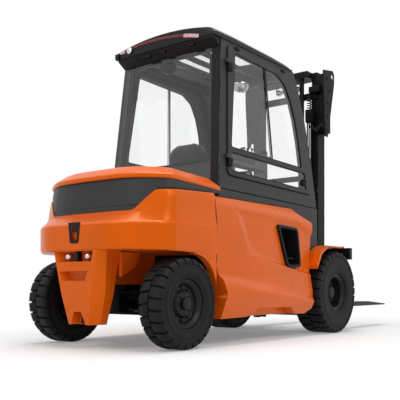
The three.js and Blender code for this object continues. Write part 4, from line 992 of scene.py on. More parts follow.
def tyre_section(radius, width, depth):
    """Section of the carcass below the lugs, as (radius, offset) pairs."""
    half = width / 2
    root = radius - depth
    outer = [(BEAD + 0.0003, half - 0.022), (BEAD + 0.010, half - 0.012), (BEAD + 0.022, half - 0.008),
             (BEAD + 0.026, half - 0.012), (BEAD + 0.032, half - 0.012), (BEAD + 0.038, half - 0.004),
             (radius - 0.098, half - 0.001), (radius - 0.086, half - 0.002), (radius - 0.080, half - 0.006),
             (radius - 0.068, half - 0.006), (radius - 0.064, half - 0.003), (radius - 0.050, half - 0.004),
             (radius - 0.040, half - 0.009), (root - 0.010, half - 0.018), (root, half - 0.040)]
    inner = [(r, -y) for r, y in reversed(outer)]
    return [*outer, *inner]


def add_lug(form, centre, radius, width, depth, sign, start, end, skew):
    """One tread block from near the middle of the tread round the shoulder."""
    half = width / 2
    root = radius - depth - 0.003
    crest = [(0.007, radius), (half - 0.036, radius), (half - 0.014, radius - 0.007),
             (half - 0.003, radius - 0.026), (half - 0.001, radius - 0.046)]
    foot = [(half - 0.020, radius - 0.050), (half - 0.046, root), (0.007, root)]
    chamfer = 0.004 / radius
    stations = [(start, 0.004), (start + chamfer, 0.0), ((start + end) / 2, 0.0), (end - chamfer, 0.0),
                (end, 0.004)]
    rings = []
    for turn, drop in stations:
        ring = []
        for offset, reach in crest:
            angle = turn + skew * offset
            ring.append(centre + Vector((math.cos(angle) * (reach - drop), sign * offset,
                                         math.sin(angle) * (reach - drop))))
        for offset, reach in foot:
            angle = turn + skew * offset
            ring.append(centre + Vector((math.cos(angle) * reach, sign * offset, math.sin(angle) * reach)))
        rings.append(ring)
    add_loft(form, rings)


def tyre(name, size, centre):
    radius, width = size
    depth = sizes().lug_depth
    form = bmesh.new()
    add_turned(form, tyre_section(radius, width, depth), centre, SIDEWAYS, 96)
    count = round(sizes().lugs * radius / REAR_TYRE[0])
    pitch = 2 * math.pi / count
    gap = sizes().slit / radius
    for row, sign in enumerate((1, -1)):
        for k in range(count):
            start = (k + row / 2) * pitch
            add_lug(form, centre, radius - 0.0002, width, depth, sign, start, start + pitch - gap, 0.3)
    shaded_piece(form, f"{name}_treaded", "tyre_rubber", body_of(name), 0.0, (name,))


def rim(name, size, centre, side, dish, bore):
    """Deep pressed rim with its nuts and hub."""
    half = size[1] / 2
    outer = half - 0.024
    disc = outer - dish
    axis = Vector((0, side, 0))
    form = bmesh.new()
    profile = [(BEAD, -outer), (BEAD, outer - 0.004), (BEAD - 0.004, outer), (BEAD - 0.012, outer + 0.001),
               (BEAD - 0.016, outer - 0.004), (BEAD - 0.022, outer - 0.012), (BEAD - 0.034, outer - 0.018),
               (BEAD - 0.040, outer - 0.030), (BEAD - 0.046, disc + 0.020), (BEAD - 0.052, disc + 0.012),
               (0.116, disc + 0.009), (0.108, disc + 0.012), (0.096, disc + 0.034), (0.090, disc + 0.042),
               (bore + 0.005, disc + 0.046), (bore, disc + 0.044), (bore, disc - 0.022),
               (0.112, disc - 0.022), (BEAD - 0.030, disc - 0.014), (BEAD - 0.018, -outer)]
    add_turned(form, profile, centre, axis, 72)
    nuts = sizes().wheel_nuts
    for k in range(nuts):
        turn = 2 * math.pi * (k + 0.5) / nuts
        place = centre + axis * (disc + 0.008) + Vector((math.cos(turn), 0, math.sin(turn))) * 0.126
        add_rod(form, place, place + axis * 0.012, 0.0105, 6)
        add_rod(form, place + axis * 0.011, place + axis * 0.018, 0.0055, 12)
    cap = bore + 0.006
    add_turned(form, [(0.0, 0.0606), (bore, 0.0606), (bore, 0.044), (cap, 0.042), (cap, 0.064),
                      (cap - 0.006, 0.072), (cap * 0.6, 0.075), (0.0, 0.076)],
               centre + axis * disc, axis, 40, False)
    for k in range(8):
        turn = 2 * math.pi * k / 8
        place = centre + axis * (disc + 0.044) + Vector((math.cos(turn), 0, math.sin(turn))) * 0.076
        add_rod(form, place, place + axis * 0.007, 0.0062, 10)
    shaded_piece(form, f"{name}_finished", "rim_black", body_of(name), 0.0, (name,))


def wheels():
    for where, size, axle, dish, bore in (("front", FRONT_TYRE, FRONT_AXLE, 0.120, 0.0585),
                                          ("rear", REAR_TYRE, REAR_AXLE, 0.066, 0.0445)):
        for side, sign in SIDES:
            centre = Vector((axle.x, sign * abs(axle.y), axle.z))
            tyre(f"tyre_{where}_{side}", size, centre)
            rim(f"rim_{where}_{side}", size, centre, sign, dish, bore)


# ---------------------------------------------------------------------------------------------
# Cab
# ---------------------------------------------------------------------------------------------

SILL_Z = 1.295
SILL_HALF = 0.631
EAVES_Z = 2.600
EAVES_HALF = 0.558
CAB_LEAN = (SILL_HALF - EAVES_HALF) / (EAVES_Z - SILL_Z)
CAB_REAR_X = 0.535
REAR_LEAN = 0.0955
DOOR_OUT = 0.016
GLASS_IN = 0.008
DOOR = ((0.653, 1.430), (2.098, 1.402), (2.052, 1.725), (1.968, 2.105), (1.880, 2.362), (1.806, 2.478),
        (1.700, 2.548), (0.742, 2.560))
DOOR_GLASS = ((0.716, 1.672), (1.925, 1.650), (1.890, 1.890), (1.838, 2.113), (1.772, 2.278),
              (1.672, 2.422), (1.530, 2.490), (0.838, 2.512))
DOOR_LOW_GLASS = ((0.682, 1.470), (2.000, 1.440), (1.980, 1.607), (0.698, 1.630))
REAR_WINDOW = (1.545, 2.512)


def on_wall(x, z, out, sign):
    """A point on the leaning side of the cab, standing out from its wall."""
    return spot(x, sign * (SILL_HALF + out - CAB_LEAN * (z - SILL_Z)), z)


def cab_rear_x(z):
    return CAB_REAR_X + (z - SILL_Z) * REAR_LEAN


def wall_loop(outline, out, sign, radius):
    return arc_rounded([on_wall(x, z, out, sign) for x, z in outline], radius, 5)


def cab_frame():
    for side, sign in SIDES:
        finish_node(f"cab_side_{side}", 0.008, 3, 12.0)
        seal = bmesh.new()
        add_tube(seal, wall_loop(DOOR, -0.012, sign, 0.060), 0.0035, 8, True)
        shaded_piece(seal, f"door_seal_{side}", "gasket_rubber", "truck")
        roll = bmesh.new()
        foot = [on_wall(x, SILL_Z - (x - CAB_REAR_X) * 0.0172 + 0.010, 0.0035, sign) for x in
                (0.56, 1.1, 1.7, 2.19)]
        add_tube(roll, foot, 0.004, 8)
        shaded_piece(roll, f"sill_seal_{side}", "gasket_rubber", "truck")
    finish_node("rear_frame", 0.008, 3, 12.0)
    finish_node("roof_frame", 0.006, 2)
    finish_node("dash_console", 0.014, 3)


def rear_window_loop(out, trim):
    low, high = REAR_WINDOW
    corners = []
    for z, sign in ((low + trim, 1), (low + trim, -1), (high - trim, -1), (high - trim, 1)):
        half = SILL_HALF - 0.084 - CAB_LEAN * (z - SILL_Z) - 0.026 - trim
        corners.append(spot(cab_rear_x(z) + 0.008 - out, sign * half, z))
    return arc_rounded(corners, 0.05, 5)


def rear_face(low, high, trim, out):
    """Outline of the pane that covers the cab's rear face."""
    corners = []
    for z, sign in ((low, 1), (low, -1), (high, -1), (high, 1)):
        corners.append(spot(cab_rear_x(z) - out, sign * (SILL_HALF - CAB_LEAN * (z - SILL_Z) - trim), z))
    return arc_rounded(corners, 0.03, 5)


def cab_windows():
    """Rubber round the rear window, a dark strip of painted shade on the right rear pillar, and the rear
    pane.
    """
    seal = bmesh.new()
    add_tube(seal, rear_window_loop(0.002, 0.004), sizes().gasket + 0.002, 8, True)
    shaded_piece(seal, "rear_window_seal", "gasket_rubber", "truck")
    border = bmesh.new()
    add_ring(border, rear_face(1.302, 2.594, 0.004, 0.0010), rear_face(1.390, 2.500, 0.034, 0.0010),
             Vector((-0.0012, 0, 0)))
    shaded_piece(border, "rear_pane_border", "gasket_rubber", "truck")
    # Painted shade: a flat dark strip laid on the glass over the right rear pillar stands in for the shadow
    # on that pillar's rear face; the left pillar gets none.
    strip = bmesh.new()
    outline = [spot(cab_rear_x(z) - 0.0078, -SILL_HALF + CAB_LEAN * (z - SILL_Z) + y, z)
               for z, y in ((1.30, 0.006), (1.30, 0.088), (2.596, 0.088), (2.596, 0.006))]
    add_prism(strip, outline, Vector((-0.0020, 0, 0)))
    shaded_piece(strip, "rear_pillar_painted_shade", "gasket_rubber", "truck")
    pane = bmesh.new()
    add_prism(pane, rear_face(1.300, 2.596, 0.002, 0.0025), Vector((-0.005, 0, 0)))
    shaded_piece(pane, "rear_pane", "tinted_glass", "truck", 0.0, ("rear_window",))


def add_leaning_prism(form, outline, out, deep, sign):
    """A plate that leans with the cab's side, from its outer face inwards."""
    add_prism(form, [on_wall(x, z, out, sign) for x, z in outline], Vector((0, -sign * deep, 0)))


def leaning_mesh(outline, out, deep, sign, radius=0.0):
    form = bmesh.new()
    points = [Vector((x, z)) for x, z in outline]
    add_leaning_prism(form, arc_rounded(points, radius) if radius else points, out, deep, sign)
    return as_mesh(form, "plate")


def hinge_x(z):
    return 0.650 + (z - 1.430) * (0.742 - 0.653) / (2.560 - 1.430)


def door(side, sign):
    body = body_of(f"door_frame_{side}")
    leaf = piece_from(leaning_mesh(DOOR, DOOR_OUT, 0.046, sign, 0.050), f"door_leaf_{side}", "cab_grey", body,
                      (f"door_frame_{side}",))
    cut_away(leaf, *(leaning_mesh(outline, DOOR_OUT + 0.01, 0.07, sign, 0.030)
                     for outline in (DOOR_GLASS, DOOR_LOW_GLASS)))
    soften(leaf, 0.006, 3, 14.0)
    for outline, name in ((DOOR_GLASS, "door_glass"), (DOOR_LOW_GLASS, "door_low_glass")):
        piece_from(leaning_mesh(outline, DOOR_OUT - GLASS_IN, 0.005, sign, 0.030), f"{name}_pane_{side}",
                   "tinted_glass", body, (f"{name}_{side}",))
    seals = bmesh.new()
    for outline in (DOOR_GLASS, DOOR_LOW_GLASS):
        add_tube(seals, wall_loop(outline, DOOR_OUT - 0.004, sign, 0.030), sizes().gasket, 8, True)
    add_tube(seals, wall_loop(DOOR, DOOR_OUT - 0.010, sign, 0.050), 0.0065, 8, True)
    shaded_piece(seals, f"door_seals_{side}", "gasket_rubber", body)
    hinges = bmesh.new()
    for foot in (1.500, 2.330):
        x = hinge_x(foot)
        low = on_wall(x, foot, 0.030, sign)
        add_box(hinges, Vector((low.x - 0.008, min(low.y, low.y - sign * 0.020), foot)),
                Vector((low.x + 0.048, max(low.y, low.y - sign * 0.020), foot + 0.070)))
        for level in (0.018, 0.052):
            spotted = on_wall(x + 0.030, foot + level, 0.030, sign)
            add_rod(hinges, spotted, spotted + Vector((0, sign * 0.005, 0)), 0.007, 6)
    shaded_piece(hinges, f"door_hinges_{side}", "black_steel", body, 0.002)
    rails = bmesh.new()
    for foot, head, wide in ((1.379, 1.323, 0.011), (1.350, 1.300, 0.004)):
        add_leaning_prism(rails, [(foot - wide, 1.668), (foot + wide, 1.668), (head + wide, 2.500),
                                  (head - wide, 2.500)], DOOR_OUT - 0.0015, 0.006, sign)
    shaded_piece(rails, f"sliding_pane_rails_{side}", "black_plastic", body, 0.0015)
    handle = bmesh.new()
    plate = on_wall(1.930, 1.470, DOOR_OUT, sign)
    add_box(handle, plate + Vector((0, -0.004, 0)), plate + Vector((0.060, 0.004, 0.075)))
    grip = [on_wall(x, z, DOOR_OUT + out, sign) for x, z, out in
            ((1.940, 1.480, 0.004), (1.946, 1.500, 0.024), (1.956, 1.525, 0.024), (1.966, 1.540, 0.004))]
    add_tube(handle, smooth_line(grip, 4), 0.006, 10)
    shaded_piece(handle, f"door_handle_{side}", "black_plastic", body, 0.002)
    clips = bmesh.new()
    for x, z in ((0.870, 2.552), (1.640, 2.548)):
        middle = on_wall(x, z, DOOR_OUT + 0.002, sign)
        add_box(clips, middle - Vector((0.040, 0.004, 0.010)), middle + Vector((0.040, 0.004, 0.012)))
        add_box(clips, middle - Vector((0.014, 0.007, 0.014)), middle + Vector((0.014, 0.007, 0.018)))
    shaded_piece(clips, f"door_stay_clips_{side}", "black_steel", body, 0.002)


def doors():
    for side, sign in SIDES:
        door(side, sign)


ROOF_REAR_X = 0.540
ROOF_FRONT_X = 1.931
ROOF_HALF = 0.566
ROOF_ARCH = 0.064
ROOF_EDGE_Z = 2.664


def roof_section(y):
    """Outline of the roof shell along the machine, at one distance from its middle."""
    share = abs(y) / ROOF_HALF
    top = ROOF_EDGE_Z + ROOF_ARCH * (1 - share ** 2) - 0.030 * max(0.0, (share - 0.90) / 0.10) ** 2
    front = ROOF_FRONT_X - 0.085 * max(0.0, (share - 0.74) / 0.26) ** 1.5
    rear = ROOF_REAR_X + 0.012 * share ** 4
    low = EAVES_Z + SEAT_GAP
    line = ((rear + 0.003, low), (rear, low + 0.008), (rear, top - 0.022), (rear + 0.006, top - 0.007),
            (rear + 0.022, top), (rear + 0.30, top + 0.006), (front - 0.40, top - 0.004),
            (front - 0.12, top - 0.016), (front - 0.03, top - 0.030), (front - 0.002, low + 0.016),
            (front, low + 0.006), (front - 0.006, low))
    return [spot(x, y, z) for x, z in line]


def roof():
    shell = bmesh.new()
    stations = [ROOF_HALF * math.sin(k * math.pi / 24) for k in range(-12, 13)]
    add_loft(shell, [roof_section(y) for y in stations])
    piece = piece_from(as_mesh(shell, "roof_shell"), "roof_shell", "roof_black", "truck",
                       ("roof_panel",))
    opening = bmesh.new()
    add_box(opening, spot(0.800, -0.400, 2.55), spot(1.700, 0.400, 2.80))
    cut_away(piece, as_mesh(opening, "cutter"))
    soften(piece, 0.003, 2, 30.0)
    rims = bmesh.new()
    frame_line = arc_rounded([spot(x, y, 2.634) for x, y in
                              ((0.806, -0.394), (1.694, -0.394), (1.694, 0.394), (0.806, 0.394))], 0.03)
    add_tube(rims, frame_line, 0.005, 8, True)
    shaded_piece(rims, "roof_window_seal", "gasket_rubber", "truck")


def lip_z(y):
    """Height of the light strip along the roof's rear lip."""
    return 2.684 - 0.25 * (y - 0.12) ** 2


def roof_lights():
    """Dark housing under the roof's rear overhang, the tail light strip on its lip, and the work light."""
    housing = bmesh.new()
    stations = [0.556 * k / 8 for k in range(-8, 9)]
    sections = []
    for y in stations:
        drop = 0.012 * (y / 0.556) ** 2
        sections.append([spot(x, y, z) for x, z in
                         ((0.552, 2.6000), (0.556, 2.592 - drop), (0.612, 2.556 - drop),
                          (0.646, 2.536 - drop), (0.6465, 2.6000))])
    add_loft(housing, sections)
    for y, half, low in ((0.22, 0.055, 2.560), (0.02, 0.030, 2.566), (-0.30, 0.040, 2.562)):
        add_box(housing, spot(0.566, y - half, low), spot(0.620, y + half, 2.590))
    shaded_piece(housing, "rear_light_housing", "black_plastic", "truck", 0.003, angle=25.0)
    rear = ROOF_REAR_X
    strip = bmesh.new()
    cluster = bmesh.new()
    for k in range(24):
        y = 0.350 - 0.0322 * k
        z = lip_z(y)
        target = cluster if -0.40 < y < -0.26 else strip
        tall = 0.030 if target is cluster else 0.022
        add_box(target, spot(rear - 0.005, y - 0.0160, z - tall / 2),
                spot(rear + 0.006, y + 0.0160, z + tall / 2))
    add_box(cluster, spot(rear - 0.004, 0.455, 2.640), spot(rear + 0.008, 0.520, 2.662))
    shaded_piece(strip, "tail_light_strip", "tail_light", "truck", 0.0015)
    shaded_piece(cluster, "tail_light_cluster", "tail_light_bright", "truck", 0.002)
    lamp = bmesh.new()
    middle = spot(rear - 0.004, 0.392, 2.652)
    add_turned(lamp, [(0.0, 0.050), (0.026, 0.048), (0.034, 0.030), (0.036, 0.0), (0.033, -0.004),
                      (0.0, -0.004)], middle, FORWARDS, 28, False)
    shaded_piece(lamp, "work_light_shell", "black_plastic", "truck", 0.0)
    lens = bmesh.new()
    add_turned(lens, [(0.0, -0.0045), (0.031, -0.0045), (0.030, -0.010), (0.018, -0.014), (0.0, -0.015)],
               middle, FORWARDS, 28, False)
    shaded_piece(lens, "work_light_lens", "lamp_lens", "truck")
    bracket = bmesh.new()
    add_box(bracket, spot(rear - 0.006, 0.535, 2.598), spot(rear + 0.060, 0.578, 2.652))
    add_rod(bracket, spot(rear + 0.030, 0.556, 2.650), spot(rear + 0.030, 0.556, 2.668), 0.014, 16)
    shaded_piece(bracket, "roof_corner_bracket", "black_plastic", "truck", 0.004)


def headliner():
    """Speaker dome and grab handle inside the cab."""
    dome = bmesh.new()
    add_turned(dome, [(0.0, -0.100), (0.040, -0.094), (0.066, -0.070), (0.078, -0.030), (0.078, 0.0),
                      (0.0, 0.0)], spot(0.740, 0.100, 2.529), UPWARDS, 32, False)
    shaded_piece(dome, "speaker_dome", "black_plastic", "truck")
    handle = bmesh.new()
    grip = [spot(0.700, 0.486, 2.400), spot(0.690, 0.455, 2.385), spot(0.684, 0.445, 2.320),
            spot(0.690, 0.455, 2.250), spot(0.700, 0.492, 2.235)]
    add_tube(handle, smooth_line(grip, 5), 0.014, 12)
    shaded_piece(handle, "grab_handle", "black_plastic", "truck")


# ---------------------------------------------------------------------------------------------
# Driver's place
# ---------------------------------------------------------------------------------------------


def steering():
    """Wheel rim with three spokes, hub and spinner knob, round the turning axis."""
    finish_node("steering_column", 0.006, 3)
    low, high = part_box("steering_wheel")
    joint = JOINTS["steering_wheel_turn"]
    axis = Vector(joint["axis"]).normalized()
    if axis.z < 0:
        axis = -axis
    centre = Vector(joint["pos_m"])
    middle = (Vector(low) + Vector(high)) / 2
    centre = centre + axis * (middle - centre).dot(axis)
    radius = (high[1] - low[1]) / 2 - 0.015
    side = SIDEWAYS
    front = axis.cross(side).normalized()

    def place(turn, reach):
        return centre + reach * (math.cos(turn) * side + math.sin(turn) * front)

    form = bmesh.new()
    add_tube(form, [place(2 * math.pi * k / 48, radius) for k in range(48)], 0.0145, 12, True)
    for turn in (math.radians(90), math.radians(210), math.radians(330)):
        add_tube(form, [place(turn, 0.02) - axis * 0.022, place(turn, radius * 0.55) - axis * 0.018,
                        place(turn, radius)], 0.010, 8)
    add_turned(form, [(0.0, -0.060), (0.034, -0.058), (0.046, -0.030), (0.046, -0.012), (0.034, -0.004),
                      (0.0, -0.002)], centre, axis, 28, False)
    knob = place(math.radians(200), radius) + axis * 0.012
    add_turned(form, [(0.0, 0.0), (0.012, 0.0), (0.012, 0.012), (0.022, 0.020), (0.024, 0.040),
                      (0.016, 0.052), (0.0, 0.054)], knob, axis, 20, False)
    shaded_piece(form, "steering_wheel_rim", "interior_plastic", body_of("steering_wheel"),
                 0.0, ("steering_wheel",))


SEAT_Y = -0.100
SEAT_X = 0.830
SEAT_BASE_Z = 1.1903
COVER_CELL = 0.010
COVER_PRESSURE = 4.0
COVER_SWELL = 0.018


def stuffed(piece, cell, pressure, cap):
    """Fills a cover with foam: the cloth swells under pressure, no further than the cap."""
    even = piece.modifiers.new("even_mesh", "REMESH")
    even.mode = "VOXEL"
    even.voxel_size = cell
    applied(piece)
    start = [point.co.copy() for point in piece.data.vertices]
    cover = piece.modifiers.new("cover", "CLOTH")
    cover.settings.use_pressure = True
    cover.settings.uniform_pressure_force = pressure
    cover.settings.effector_weights.gravity = 0.0
    cover.settings.tension_stiffness = 40.0
    cover.settings.compression_stiffness = 40.0
    cover.settings.bending_stiffness = 0.6
    scene = bpy.context.scene
    for frame_number in range(1, 21):
        scene.frame_set(frame_number)
    applied(piece)
    scene.frame_set(1)
    for point, home in zip(piece.data.vertices, start):
        moved = point.co - home
        if moved.length > cap:
            point.co = home + moved.normalized() * cap
    smooth = piece.modifiers.new("smooth", "CORRECTIVE_SMOOTH")
    smooth.iterations = 4
    smooth.use_only_smooth = True
    finer = piece.modifiers.new("finer", "SUBSURF")
    finer.levels = finer.render_levels = 1
    applied(piece)
    piece.data.polygons.foreach_set("use_smooth", [True] * len(piece.data.polygons))


def back_point(across, up, deep):
    """A point of the backrest: across and up its face, and forwards from its rear."""
    foot = SEAT_BASE_Z + 0.190
    lean = -0.060 * (up / 0.415) - 0.046
    return spot(SEAT_X + lean + deep, SEAT_Y + across, foot + up)


def backrest_outline(grow):
    """Half-round headed outline of the backrest, as (across, up) pairs."""
    right = [(0.170 + grow, 0.006 - grow), (0.232 + grow, 0.050), (0.240 + grow, 0.200),
             (0.232 + grow, 0.300), (0.188 + grow, 0.372 + grow), (0.100, 0.406 + grow)]
    return [*right, *((-across, up) for across, up in reversed(right))]


def seat():
    finish_node("seat_base", 0.012, 3)
    levels = ((-0.020, 0.004), (0.0, 0.014), (0.0, 0.056), (-0.020, 0.070))
    back = bmesh.new()
    add_loft(back, [[back_point(across, up, deep) for across, up in backrest_outline(grow - 0.008)]
                    for grow, deep in levels])
    back_piece = piece_from(as_mesh(back, "seat_back_cover"), "seat_back_cover", "seat_fabric", "truck",
                            ("seat_back",))
    base = bmesh.new()
    low = SEAT_BASE_Z + 0.0703
    plan = [(0.040, 0.232), (0.100, 0.240), (0.420, 0.236), (0.478, 0.190), (0.490, 0.0)]
    ring = [*plan, *((x, -y) for x, y in reversed(plan[:-1]))]
    levels = ((0.006, 0.95), (0.022, 1.0), (0.080, 1.0), (0.094, 0.93))
    add_loft(base, [[spot(SEAT_X + 0.040 + (x - 0.040) * share, SEAT_Y + y * share,
                          low + z + 0.055 * (x - 0.04)) for x, y in ring] for z, share in levels])
    base_piece = piece_from(as_mesh(base, "seat_cushion_cover"), "seat_cushion_cover", "seat_fabric", "truck",
                            ("seat_cushion",))
    for piece in (back_piece, base_piece):
        stuffed(piece, COVER_CELL, COVER_PRESSURE, COVER_SWELL)
    welts = bmesh.new()
    welt = [back_point(across, up, 0.074) for across, up in backrest_outline(-0.040)]
    add_tube(welts, smooth_line(welt, 3), 0.0035, 8)
    shaded_piece(welts, "seat_back_welt", "gasket_rubber", "truck")


def console():
    """Padded lever console beside the seat, with its mini levers and stop button, and the ceiling lamp."""
    low, high = SEAT_BASE_Z + 0.510, SEAT_BASE_Z + 0.545
    cover = bmesh.new()
    parts = ((0.800, 1.640, 0.0, low + 0.0004, high), (0.830, 1.560, 0.006, low - 0.120, low))
    for back, tip, slim, z0, z1 in parts:
        rings = []
        for z, trim in ((z0, 0.006), (z0 + 0.010, 0.0), (z1 - 0.010, 0.0), (z1, 0.008)):
            rear, front, edge, inner = back + trim, tip - trim, 0.462 - slim - trim, 0.348 + slim + trim
            rings.append(arc_rounded([spot(x, -y, z) for x, y in
                                      ((rear, edge), (front, edge), (front, inner), (rear, inner))], 0.03))
        add_loft(cover, rings)
    shaded_piece(cover, "console_pad", "console_grey", "truck", 0.004, angle=25.0)
    levers = bmesh.new()
    for k in range(4):
        foot = spot(1.330 - 0.030 * k, -0.425 + 0.030 * (k % 2), high - 0.006)
        add_rod(levers, foot, foot + Vector((0.006, 0, 0.030)), 0.0045, 10)
        add_turned(levers, [(0.0, 0.0), (0.009, 0.002), (0.013, 0.012), (0.010, 0.022), (0.0, 0.025)],
                   foot + Vector((0.006, 0, 0.028)), Vector((0.15, 0, 1)), 16, False)
    shaded_piece(levers, "console_levers", "black_plastic", "truck")
    button = bmesh.new()
    add_turned(button, [(0.0, 0.0), (0.015, 0.0), (0.018, 0.010), (0.014, 0.020), (0.0, 0.022)],
               spot(1.150, -0.440, high - 0.001), UPWARDS, 20, False)
    shaded_piece(button, "stop_button", "tail_light", "truck")
    lamp = bmesh.new()
    add_turned(lamp, [(0.0, -0.086), (0.040, -0.080), (0.074, -0.052), (0.082, -0.012), (0.082, 0.0),
                      (0.0, 0.0)], spot(1.690, -0.060, 2.529), UPWARDS, 36, False)
    shaded_piece(lamp, "ceiling_fan_cover", "lamp_lens", "truck")


# ---------------------------------------------------------------------------------------------
# Mast, carriage and forks
# ---------------------------------------------------------------------------------------------

PIPE_CLIP_Z = (1.700, 1.200, 0.760)
MAST_BLOCKS = (((2.642, 0.4205, 2.160), (2.800, 0.4955, 2.660)),
               ((2.640, 0.4300, 2.662), (2.800, 0.4955, 2.790)),
               ((2.572, 0.3450, 2.585), (2.650, 0.4700, 2.650)),
               ((2.578, 0.3000, 2.270), (2.651, 0.3880, 2.410)),
               *(((2.600, 0.2950, z), (2.651, 0.3600, z + 0.024)) for z in PIPE_CLIP_Z))


def mast():
    finish_node("mast_outer", 0.003, 2, 30.0)
    finish_node("mast_inner", 0.003, 2, 30.0)
    for side, sign in SIDES:
        finish_node(f"lift_barrel_{side}", 0.002, 2, 40.0)
        mast_fittings(side, sign)
    finish_node("chain_pulleys", 0.002, 2, 40.0)


def mast_fittings(side, sign):
    """Head bracket, valve box and the pipes clipped to the rear of the outer mast."""
    body = body_of("mast_outer")
    blocks = bmesh.new()
    for low, high in MAST_BLOCKS:
        add_side_box(blocks, sign, low, high)
    shaded_piece(blocks, f"mast_head_blocks_{side}", "black_steel", body, 0.006)
    pipes = bmesh.new()
    for k in range(3):
        y = sign * (0.305 + 0.022 * k)
        add_tube(pipes, [spot(2.622, y, 0.700), spot(2.622, y, 2.300)], 0.0075, 10)
    coil = [spot(2.604 + 0.020 * math.cos(k * 0.7), sign * (0.338 + 0.020 * math.sin(k * 0.7)),
                 2.412 + k * 0.0028) for k in range(62)]
    add_tube(pipes, coil, 0.0065, 8)
    for k in range(2):
        loop = [spot(x, sign * y, z) for x, y, z in
                ((2.610, 0.330 + 0.03 * k, 2.275), (2.600, 0.350 + 0.03 * k, 2.215),
                 (2.606, 0.410 + 0.02 * k, 2.190 - 0.02 * k), (2.620, 0.470 + 0.01 * k, 2.235),
                 (2.640, 0.490, 2.180))]
        add_tube(pipes, smooth_line(loop, 6), 0.0080, 10)
    shaded_piece(pipes, f"mast_pipes_{side}", "gasket_rubber", body)
    bolts = bmesh.new()
    for x, z in ((2.700, 2.180), (2.705, 2.330), (2.712, 2.480), (2.760, 2.620), (2.700, 2.740)):
        add_rod(bolts, spot(x, sign * 0.5075, z), spot(x, sign * 0.5145, z), 0.0120, 6)
    shaded_piece(bolts, f"mast_head_bolts_{side}", "black_steel", body)


def carriage():
    finish_node("fork_carriage", 0.004, 2, 30.0)
    for side, _ in SIDES:
        finish_node(f"fork_{side}", 0.007, 3, 25.0)


# ---------------------------------------------------------------------------------------------
# Floor, light and camera
# ---------------------------------------------------------------------------------------------

CAMERA_AT = (-5.89265, -3.9955, 0.5061)
CAMERA_TURN = -52.3
CAMERA_LENS = 61.95
CAMERA_RISE = 0.2095


def seen_light(material_tree, lit, seen):
    """Mixes what lights the scene with what the camera, mirrors and glass see."""
    path = material_tree.nodes.new("ShaderNodeLightPath")
    rays = material_tree.nodes.new("ShaderNodeMath")
    rays.operation = "ADD"
    more = material_tree.nodes.new("ShaderNodeMath")
    more.operation = "ADD"
    more.use_clamp = True
    mix = material_tree.nodes.new("ShaderNodeMixShader")
    link = material_tree.links.new
    link(path.outputs["Is Camera Ray"], rays.inputs[0])
    link(path.outputs["Is Glossy Ray"], rays.inputs[1])
    link(rays.outputs[0], more.inputs[0])
    link(path.outputs["Is Transmission Ray"], more.inputs[1])
    link(more.outputs[0], mix.inputs["Fac"])
    link(lit, mix.inputs[1])
    link(seen, mix.inputs[2])
    return mix.outputs["Shader"]


def studio_world():
    world = bpy.data.worlds.new("studio")
    bpy.context.scene.world = world
    world.use_nodes = True
    tree = world.node_tree
    soft = tree.nodes["Background"]
    soft.inputs["Color"].default_value = (1.0, 1.0, 1.0, 1.0)
    soft.inputs["Strength"].default_value = 0.36
    white = tree.nodes.new("ShaderNodeBackground")
    white.inputs["Color"].default_value = (1.0, 1.0, 1.0, 1.0)
    white.inputs["Strength"].default_value = 1.0
    shader = seen_light(tree, soft.outputs["Background"], white.outputs["Background"])
    tree.links.new(shader, tree.nodes["World Output"].inputs["Surface"])


def studio_floor():
    """Pale floor that takes the shadow close by and turns plain white further off."""
    form = bmesh.new()
    half = 40.0
    form.faces.new([form.verts.new(point) for point in
                    ((-half, -half, 0), (half, -half, 0), (half, half, 0), (-half, half, 0))])
    mesh = bpy.data.meshes.new("studio_floor")
    form.to_mesh(mesh)
    form.free()
    floor = bpy.data.objects.new("studio_floor", mesh)
    bpy.context.scene.collection.objects.link(floor)
    material = bpy.data.materials.new("studio_floor")
    material.use_nodes = True
    tree = material.node_tree
    tree.nodes.remove(tree.nodes["Principled BSDF"])
    paper = tree.nodes.new("ShaderNodeBsdfDiffuse")
    paper.inputs["Color"].default_value = (0.86, 0.86, 0.86, 1.0)
    white = tree.nodes.new("ShaderNodeEmission")
    white.inputs["Strength"].default_value = 1.0
    place = tree.nodes.new("ShaderNodeTexCoord")
    shape = tree.nodes.new("ShaderNodeVectorMath")
    shape.operation = "MULTIPLY"
    shape.inputs[1].default_value = (1.0, 1.6, 1.0)
    far = tree.nodes.new("ShaderNodeVectorMath")
    far.operation = "LENGTH"
    fade = tree.nodes.new("ShaderNodeMapRange")
    fade.inputs["From Min"].default_value = 2.1
    fade.inputs["From Max"].default_value = 4.4
    fade.inputs["To Min"].default_value = 0.22
    fade.interpolation_type = "SMOOTHSTEP"
    mix = tree.nodes.new("ShaderNodeMixShader")
    link = tree.links.new
    link(place.outputs["Object"], shape.inputs[0])
    link(shape.outputs["Vector"], far.inputs[0])
    link(far.outputs["Value"], fade.inputs["Value"])
    link(fade.outputs["Result"], mix.inputs["Fac"])
    link(paper.outputs["BSDF"], mix.inputs[1])
    link(white.outputs["Emission"], mix.inputs[2])
    shader = seen_light(tree, paper.outputs["BSDF"], mix.outputs["Shader"])
    link(shader, tree.nodes["Material Output"].inputs["Surface"])
    mesh.materials.append(material)


def studio_lamp(name, place, target, size, power):
    lamp = bpy.data.lights.new(name, "AREA")
    lamp.shape = "RECTANGLE"
    lamp.size, lamp.size_y = size
    lamp.energy = power
    stand = bpy.data.objects.new(name, lamp)
    stand.location = place
    stand.rotation_euler = (Vector(target) - Vector(place)).to_track_quat("-Z", "Y").to_euler()
    bpy.context.scene.collection.objects.link(stand)


